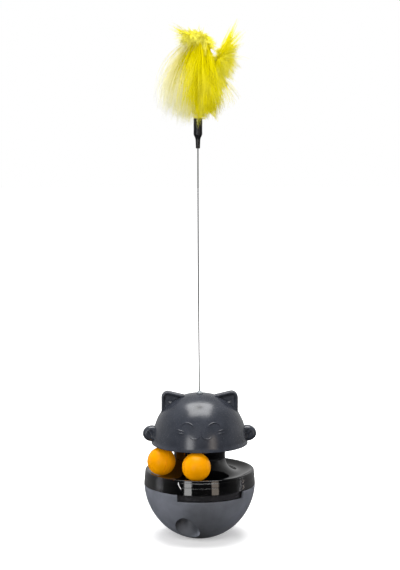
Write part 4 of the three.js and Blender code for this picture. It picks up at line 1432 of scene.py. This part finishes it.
@dataclass
class Plume:
    """A marabou plume: a soft curved quill with long barbs, which hang together in pointed locks."""

    side: str
    bend: tuple[Triple, ...]  # the quill's Bezier points, mm from the sleeve's top
    fans: tuple[Fan, ...]
    seed: int
    pale: bool = False
    joints: int = 8

    def quill(self, share: np.ndarray) -> np.ndarray:
        """Gives points on the quill."""
        a, b, c, d = (np.array(p) for p in self.bend)
        t = share[:, None]
        return (1 - t) ** 3 * a + 3 * (1 - t) ** 2 * t * b + 3 * (1 - t) * t**2 * c + t**3 * d

    def strands(self, fan: Fan, dice: np.random.Generator) -> tuple[np.ndarray, ...]:
        """Lays out one fan's barbs.

        Args:
            fan: The fan.
            dice: The source of scatter.

        Returns:
            The barbs' middle lines as barb, joint and axis, each joint's half width, each barb's shade, and
            each joint's place in the dye's run.
        """
        size = (fan.locks, fan.barbs)
        root = self.quill(fan.span[0] + (fan.span[1] - fan.span[0]) * dice.random(fan.locks))
        off = math.radians(fan.azimuth[0])
        root = root + fan.out * np.array([math.sin(off), -math.cos(off), 0.0])
        if fan.length is None:
            hem = dice.uniform(*fan.hem, fan.locks)
            drop = np.radians(abs(fan.rise[0] + 2 * fan.fall[0]) / 3)
            length = np.maximum(root[:, 2] - hem, 6.0) / np.sin(drop)
        else:
            length = dice.uniform(*fan.length, fan.locks)
        around, rise, fall = (
            np.radians(dice.normal(*angle, fan.locks)[:, None] + dice.normal(0, jitter, size))
            for angle, jitter in ((fan.azimuth, 7.0), (fan.rise, 8.0), (fan.fall, 7.0))
        )
        s = np.linspace(0, 1, self.joints)
        middle = (s[1:] + s[:-1]) / 2
        tilt = rise[..., None] + (fall - rise)[..., None] * middle**0.8
        around = around[..., None] + dice.normal(0, 0.35, size)[..., None] * middle**2
        level = np.cos(tilt)
        way = np.stack([level * np.sin(around), -level * np.cos(around), np.sin(tilt)], axis=-1)
        reach = length[:, None] * dice.uniform(0.7, 1.0, size)
        steps = way * (reach / (self.joints - 1))[..., None, None]
        line = np.concatenate([np.zeros((*size, 1, 3)), np.cumsum(steps, axis=2)], axis=2)
        line += root[:, None, None, :] + dice.normal(0, 0.5, (*size, 1, 3))
        pull = 0.5 * s[None, None, :, None] ** 1.3
        line = line * (1 - pull) + line.mean(axis=1, keepdims=True) * pull
        line += dice.normal(0, 0.5, (*size, 1, 3)) * np.sin(s * math.pi * 2)[None, None, :, None]
        girth = fan.width * dice.uniform(0.6, 1.35, size)[..., None] * np.clip(1.05 - s**1.8, 0.14, 1)
        shade = np.clip(dice.random(fan.locks)[:, None] * 0.75 + dice.random(size) * 0.25, 0, 1)
        count = fan.locks * fan.barbs
        dye = np.repeat(np.interp(s, (0, 1), fan.dye)[None], count, axis=0)
        line, girth = line.reshape(count, self.joints, 3), girth.reshape(count, self.joints)
        return line, girth, shade.reshape(count), dye

    def build(self, top: Triple) -> Piece:
        """Builds the plume as thin three-sided strands.

        Args:
            top: The middle of the sleeve's top, in mm.

        Returns:
            The plume.
        """
        dice = np.random.default_rng(self.seed)
        laid = [self.strands(fan, dice) for fan in self.fans]
        quill = self.quill(np.linspace(0, 1, self.joints))
        line = np.concatenate([quill[None], *(part[0] for part in laid)]) + np.array(top)
        girth = np.concatenate([np.linspace(0.8, 0.2, self.joints)[None], *(part[1] for part in laid)])
        shade = np.concatenate([[0.5], *(part[2] for part in laid)])
        way = np.gradient(line, axis=1)
        way /= np.linalg.norm(way, axis=2, keepdims=True)
        side = np.cross(way, np.array([0.27, 0.9, 0.35]))
        side /= np.linalg.norm(side, axis=2, keepdims=True)
        other = np.cross(way, side)
        count, joints = girth.shape
        turns = [2 * math.pi * k / 3 for k in range(3)]
        corners = [line + (side * math.cos(a) + other * math.sin(a)) * girth[:, :, None] for a in turns]
        points = np.stack(corners, axis=2).reshape(-1, 3) * MM
        base = (np.arange(count) * joints * 3)[:, None, None]
        step = (np.arange(joints - 1) * 3)[None, :, None]
        k = np.arange(3)[None, None, :]
        here, there = base + step + k, base + step + (k + 1) % 3
        walls = np.stack([here, there, there + 3, here + 3], axis=3).reshape(-1, 4)
        first, last = base[:, 0, 0], base[:, 0, 0] + 3 * joints - 3
        ends = np.concatenate([
            np.stack([first + 2, first + 1, first], axis=1),
            np.stack([last, last + 1, last + 2], axis=1),
        ])
        name = f"plume_{self.side}"
        mesh = bpy.data.meshes.new(name)
        mesh.from_pydata(points.tolist(), [], [*walls.tolist(), *ends.tolist()])
        layer = mesh.uv_layers.new(name="along")
        share = np.concatenate([np.full((1, joints), 0.25), *(part[3] for part in laid)])
        u = np.repeat(np.repeat(shade, joints), 3)
        v = np.repeat(share.reshape(-1), 3)
        loops = np.zeros(len(mesh.loops), dtype=np.int32)
        mesh.loops.foreach_get("vertex_index", loops)
        layer.data.foreach_set("uv", np.stack([u[loops], v[loops]], axis=1).reshape(-1).astype(np.float32))
        mesh.polygons.foreach_set("use_smooth", [True] * len(mesh.polygons))
        feather = bpy.data.objects.new(name, mesh)
        bpy.context.collection.objects.link(feather)
        return feather


@dataclass
class Tuft:
    """The five plumes bound in the sleeve."""

    top: Triple = (-1.7, 0.0, 438.1)

    def plumes(self) -> list[Plume]:
        """Lists the plumes."""
        rooted = (0.0, 0.7)
        root = Fan((0.02, 0.4), (0, 180), (35, 25), (5, 25), (6, 15), 60)
        apron = Fan((0.1, 0.45), (0, 85), (-30, 18), (-80, 6), None, 80, hem=(-2, 6), dye=(0.0, 0.5))
        return [
            Plume("front", ((0, -1, -3), (1, -3, 42), (25, -5, 91), (-9, -4, 82)), (
                root,
                apron,
                Fan((0.2, 0.88), (-8, 60), (-64, 11), (-88, 4), None, 150, hem=(-2, 40), dye=(0.0, 0.62)),
                Fan((0.3, 0.92), (-80, 30), (-52, 11), (-86, 6), None, 60, hem=(-14, 8), width=0.2),
                Fan((0.15, 0.5), (88, 28), (-60, 10), (-80, 6), None, 40, hem=(-3, 14)),
                Fan((0.72, 1.0), (-80, 60), (8, 24), (-48, 20), (11, 24), 110, dye=(0.75, 1.1)),
                Fan((0.76, 1.0), (-70, 60), (38, 18), (10, 18), (7, 14), 50, dye=(0.75, 1.1)),
                Fan(
                    (0.86, 1.0), (-92, 20), (24, 14), (22, 12), (16, 29), 14, barbs=4, width=0.26, dye=rooted
                ),
                Fan((0.5, 0.9), (60, 60), (30, 20), (-20, 25), (6, 13), 70),
                Fan((0.8, 0.95), (10, 60), (62, 12), (64, 12), (8, 16), 6, barbs=2, width=0.2),
                Fan(
                    (0.02, 0.1), (0, 45), (-84, 4), (-86, 5), (8, 22), 5, barbs=2, width=0.14, dye=(0.6, 1.0),
                    out=4.2,
                ),
            ), 11),
            Plume("right", ((1, 0, -3), (5, 0, 34), (13, 1, 48), (26, 2, 68)), (
                root,
                apron,
                Fan((0.7, 1.0), (88, 35), (56, 8), (51, 8), (24, 48), 32, barbs=5, width=0.3, dye=rooted),
                Fan((0.66, 1.0), (88, 30), (32, 13), (27, 12), (20, 38), 32, barbs=5, width=0.28, dye=rooted),
                Fan((0.78, 1.0), (90, 22), (6, 9), (-2, 8), (12, 22), 44, dye=(0.3, 1.0)),
                Fan((0.5, 0.97), (80, 34), (-14, 14), (-60, 10), (15, 29), 130),
                Fan((0.3, 0.95), (0, 45), (-30, 15), (-84, 6), (12, 24), 110, dye=(0.0, 0.6)),
                Fan((0.45, 0.75), (75, 14), (-36, 8), (-58, 6), (36, 52), 7, barbs=2),
                Fan((0.45, 0.97), (88, 20), (-6, 14), (-30, 12), (26, 38), 12, barbs=2, width=0.18),
                Fan((0.1, 0.9), (180, 50), (0, 20), (-60, 18), (12, 24), 60),
                Fan((0.5, 1.0), (-70, 45), (40, 15), (0, 20), (5, 12), 60),
            ), 12),
            Plume("left", ((-1, 0, -3), (-4, 1, 26), (-5, 2, 50), (-10, 2, 80)), (
                Fan((0.25, 0.97), (-90, 30), (-50, 10), (-87, 6), None, 140, hem=(-14, 6), width=0.17),
                Fan((0.6, 1.0), (-90, 24), (-26, 14), (-60, 9), (16, 27), 34, barbs=4, width=0.18),
                Fan((0.4, 0.98), (-90, 18), (-24, 10), (-42, 8), (22, 35), 16, barbs=2, width=0.15),
                Fan((0.3, 0.7), (-65, 40), (-52, 10), (-84, 5), None, 14, hem=(-18, -7), barbs=3, width=0.2),
                Fan((0.2, 0.9), (-72, 25), (-30, 12), (-82, 6), None, 50, hem=(-8, 14), width=0.2),
                Fan((0.8, 1.0), (-70, 50), (30, 20), (-5, 25), (10, 18), 36, width=0.2),
            ), 13, pale=True),
            Plume("back_right", ((0, 1, -3), (3, 6, 24), (6, 10, 46), (8, 14, 58)), (
                root,
                Fan((0.2, 1.0), (150, 60), (-5, 20), (-70, 12), (16, 34), 150),
                Fan((0.2, 0.8), (120, 70), (-35, 15), (-82, 8), None, 60, hem=(-2, 18)),
                Fan((0.8, 1.0), (120, 60), (50, 15), (15, 20), (8, 16), 50),
            ), 14),
            Plume("back_left", ((0, 1, -3), (-3, 6, 26), (-6, 10, 46), (-9, 14, 58)), (
                root,
                Fan((0.2, 1.0), (210, 60), (-10, 20), (-70, 12), (16, 34), 150),
                Fan((0.2, 0.8), (240, 70), (-35, 15), (-82, 8), None, 60, hem=(-2, 18)),
                Fan((0.8, 1.0), (240, 60), (45, 15), (10, 20), (8, 16), 50),
            ), 15, pale=True),
        ]

    def build(self, finishes: Finishes) -> None:
        """Builds the plumes on the tuft's body."""
        down, pale = finishes.down.build(), finishes.pale_down.build()
        for plume in self.plumes():
            dyed = pale if plume.pale else down
            seat(plume.build(self.top), dyed, "tuft", "feather", f"feather_{plume.side}")


# The studio


@dataclass
class Studio:
    """The white room: floor, backdrop, softbox, two strips, a fill, two low side lights and the camera."""

    camera_azimuth: float = -1.6
    camera_distance: float = 2003.0
    camera_height: float = 550.0
    pitch: float = 8.063
    aim: float = 0.0117  # degrees that the camera looks right of the toy's axis
    focal_length: float = 82.57
    sensor: float = 24.0
    room: Point = (0.04, 0.62)  # the light from the room's dark front and its white back
    room_depth: Point = (-0.7, 0.62)  # how far back these two lie, as shares
    levels: tuple[Point, ...] = ((0.34, 0.1), (0.52, 1.0), (0.59, 1.0), (0.76, 0.6))  # from below to above
    box_place: Triple = (0.0, 0.02, 1.5)  # m, as are the other places and sizes
    box_target: Triple = (0.0, 0.02, 0.12)
    box_size: Point = (1.1, 1.15)
    box_power: float = 30.0
    strips: tuple[tuple[float, float, str], ...] = ((-25.0, 3.6, "ffffff"), (30.0, 1.7, "fff0e0"))
    strip_distance: float = 1200.0  # mm
    strip_height: float = 105.0  # mm
    strip_size: Point = (0.3, 0.62)
    fill_place: Triple = (-0.3, -1.5, 1.0)
    fill_size: Point = (1.3, 0.9)
    side_place: Triple = (0.55, 0.04, 0.025)  # the right one's
    side_size: Point = (0.3, 0.03)
    side_power: Point = (0.12, 0.105)
    side_spread: float = 24.0
    floor_grey: float = 0.8
    floor_glow: float = 0.33
    floor_reach: Point = (0.07, 0.32)  # m from the axis, over which the floor turns white
    fill_power: float = 21.0

    def camera(self) -> None:
        """Sets the camera at the photograph's angle."""
        data = bpy.data.cameras.new("camera")
        data.sensor_fit = "VERTICAL"
        data.sensor_height = self.sensor
        data.lens = self.focal_length
        data.clip_start = 0.05
        data.clip_end = 30
        camera = bpy.data.objects.new("camera", data)
        camera.location = place(self.camera_distance, self.camera_azimuth, self.camera_height)
        turn = math.radians(self.camera_azimuth - self.aim)
        camera.rotation_euler = (math.radians(90 - self.pitch), 0, turn)
        bpy.context.collection.objects.link(camera)
        bpy.context.scene.camera = camera

    def light(
        self,
        name: str,
        where: Vector,
        target: Vector,
        size: Point,
        power: float,
        colour: str,
        mirrored: bool = True,
        spread: float = 180.0,
    ) -> None:
        """Hangs a rectangular light that the camera doesn't see.

        Args:
            name: Its name.
            where: Its middle.
            target: What it faces.
            size: Its width and height, in metres.
            power: Its watts.
            colour: Its colour.
            mirrored: Whether it shows in glossy surfaces.
            spread: The angle that its grid lets through.
        """
        data = bpy.data.lights.new(name, "AREA")
        data.shape = "RECTANGLE"
        data.size, data.size_y = size
        data.energy = power
        data.color = linear(colour)[:3]
        data.spread = math.radians(spread)
        lamp = bpy.data.objects.new(name, data)
        lamp.location = where
        lamp.rotation_euler = (target - where).to_track_quat("-Z", "Y").to_euler()
        lamp.visible_camera = False
        lamp.visible_glossy = mirrored
        bpy.context.collection.objects.link(lamp)

    def lights(self) -> None:
        """Hangs the softbox, the strips, the fill and the gridded side lights."""
        where, target = Vector(self.box_place), Vector(self.box_target)
        self.light("softbox", where, target, self.box_size, self.box_power, "ffffff")
        for name, (azimuth, power, colour) in zip(("strip_left", "strip_right"), self.strips):
            where = place(self.strip_distance, azimuth, self.strip_height)
            self.light(name, where, Vector((0, 0, 0.09)), self.strip_size, power, colour)
        where, target = Vector(self.fill_place), Vector((0, 0, 0.2))
        self.light("fill", where, target, self.fill_size, self.fill_power, "ffffff", mirrored=False)
        for name, side, power in zip(("side_left", "side_right"), (-1, 1), self.side_power):
            where = Vector((self.side_place[0] * side, *self.side_place[1:]))
            self.light(
                name,
                where,
                Vector((0, 0, 0.03)),
                self.side_size,
                power,
                "fbfaff",
                mirrored=False,
                spread=self.side_spread,
            )

    def surroundings(self) -> None:
        """Lays the floor and hangs the backdrop."""
        world = bpy.data.worlds.new("room")
        world.use_nodes = True
        tree = world.node_tree
        ways = add_node(tree, "ShaderNodeSeparateXYZ", links={"Vector": coordinates(tree, "Generated")})
        depth = ranged(tree, ways.outputs["Y"], self.room_depth, self.room, "SMOOTHSTEP")
        height = ramp(tree, summed(tree, ways.outputs["Z"], 0.5, 0.5), self.levels)
        strength = add_node(tree, "ShaderNodeMath", {"operation": "MULTIPLY"}, links={0: depth, 1: height})
        background = tree.nodes["Background"]
        background.inputs["Color"].default_value = (1, 1, 1, 1)
        tree.links.new(strength.outputs["Value"], background.inputs["Strength"])
        bpy.context.scene.world = world
        bpy.context.scene.view_settings.view_transform = "Standard"
        floor = primitive("floor", bpy.ops.mesh.primitive_plane_add, size=8, location=(0, 0, 0))
        material, tree, surface = fresh_material("white_sweep")
        diffuse = add_node(tree, "ShaderNodeBsdfDiffuse", values={"Color": (*[self.floor_grey] * 3, 1)})
        links = {0: coordinates(tree)}
        away = add_node(tree, "ShaderNodeVectorMath", {"operation": "LENGTH"}, links=links).outputs["Value"]
        strength = ranged(tree, away, self.floor_reach, (self.floor_glow, 1.0), "SMOOTHSTEP")
        glow = add_node(tree, "ShaderNodeEmission", links={"Strength": strength})
        both = add_node(
            tree, "ShaderNodeAddShader", links={0: diffuse.outputs["BSDF"], 1: glow.outputs["Emission"]}
        )
        tree.links.new(both.outputs["Shader"], surface)
        dress(floor, material)
        floor.visible_diffuse = False
        floor.visible_glossy = False
        sphere = {"segments": 48, "ring_count": 24, "radius": 4.5, "location": (0, 0, 0)}
        backdrop = primitive("backdrop", bpy.ops.mesh.primitive_uv_sphere_add, **sphere)
        material, tree, surface = fresh_material("white_backdrop")
        glow = add_node(tree, "ShaderNodeEmission", values={"Strength": 1.0})
        tree.links.new(glow.outputs["Emission"], surface)
        dress(backdrop, material)
        backdrop.visible_diffuse = False
        backdrop.visible_glossy = False
        backdrop.visible_shadow = False

    def build(self) -> None:
        """Builds the studio."""
        self.camera()
        self.lights()
        self.surroundings()


def dress_inner_parts(frame: dict[str, Any], finishes: Finishes) -> None:
    """Gives the pieces inside, whose plain shapes stay, their real finishes.

    Args:
        frame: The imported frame.
        finishes: The toy's finishes.
    """
    weight, screw, inner = finishes.weight.build(), finishes.screw.build(), finishes.inner.build()
    for name, node in frame["nodes"].items():
        chosen = None
        if name == "counterweight":
            chosen = weight
        elif "screw" in name:
            chosen = screw
        elif name in ("treat_floor", "treat_gate"):
            chosen = inner
        if chosen:
            for slot in node.material_slots:
                slot.material = chosen


def main() -> None:
    """Builds the toy round its frame, piece by piece."""
    logging.basicConfig(level=logging.INFO, format="%(name)s: %(message)s")
    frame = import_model()
    finishes = Finishes()
    Studio().build()
    dress_inner_parts(frame, finishes)
    smoked = finishes.smoked.build()
    seat(Bowl().build(), finishes.bowl.build(), "base", "bowl_plastic", "bowl_shell")
    tray = Tray()
    seat(tray.build(), smoked, "upper", "smoked_plastic", "track_tray")
    seat(tray.tick(), finishes.white_tick.build(), "upper", "smoked_plastic")
    # Painted highlight: the grey chevrons stand in for the light caught by moulded arrows.
    grey = finishes.chevron_highlight.build()
    for chevron in tray.chevrons():
        seat(chevron, grey, "upper", "smoked_plastic")
    seat(Neck().build(), smoked, "upper", "smoked_plastic", "neck_collar")
    seat(Head().build(), finishes.head.build(), "upper", "head_plastic", "head_shell")
    yellow = finishes.ball.build()
    Ball("ball_left", -69.2).build("ball_left", yellow)
    Ball("ball_front", -6.0).build("ball_front", yellow)
    Wand().build(finishes)
    Tuft().build(finishes)


if __name__ == "__main__":
    main()
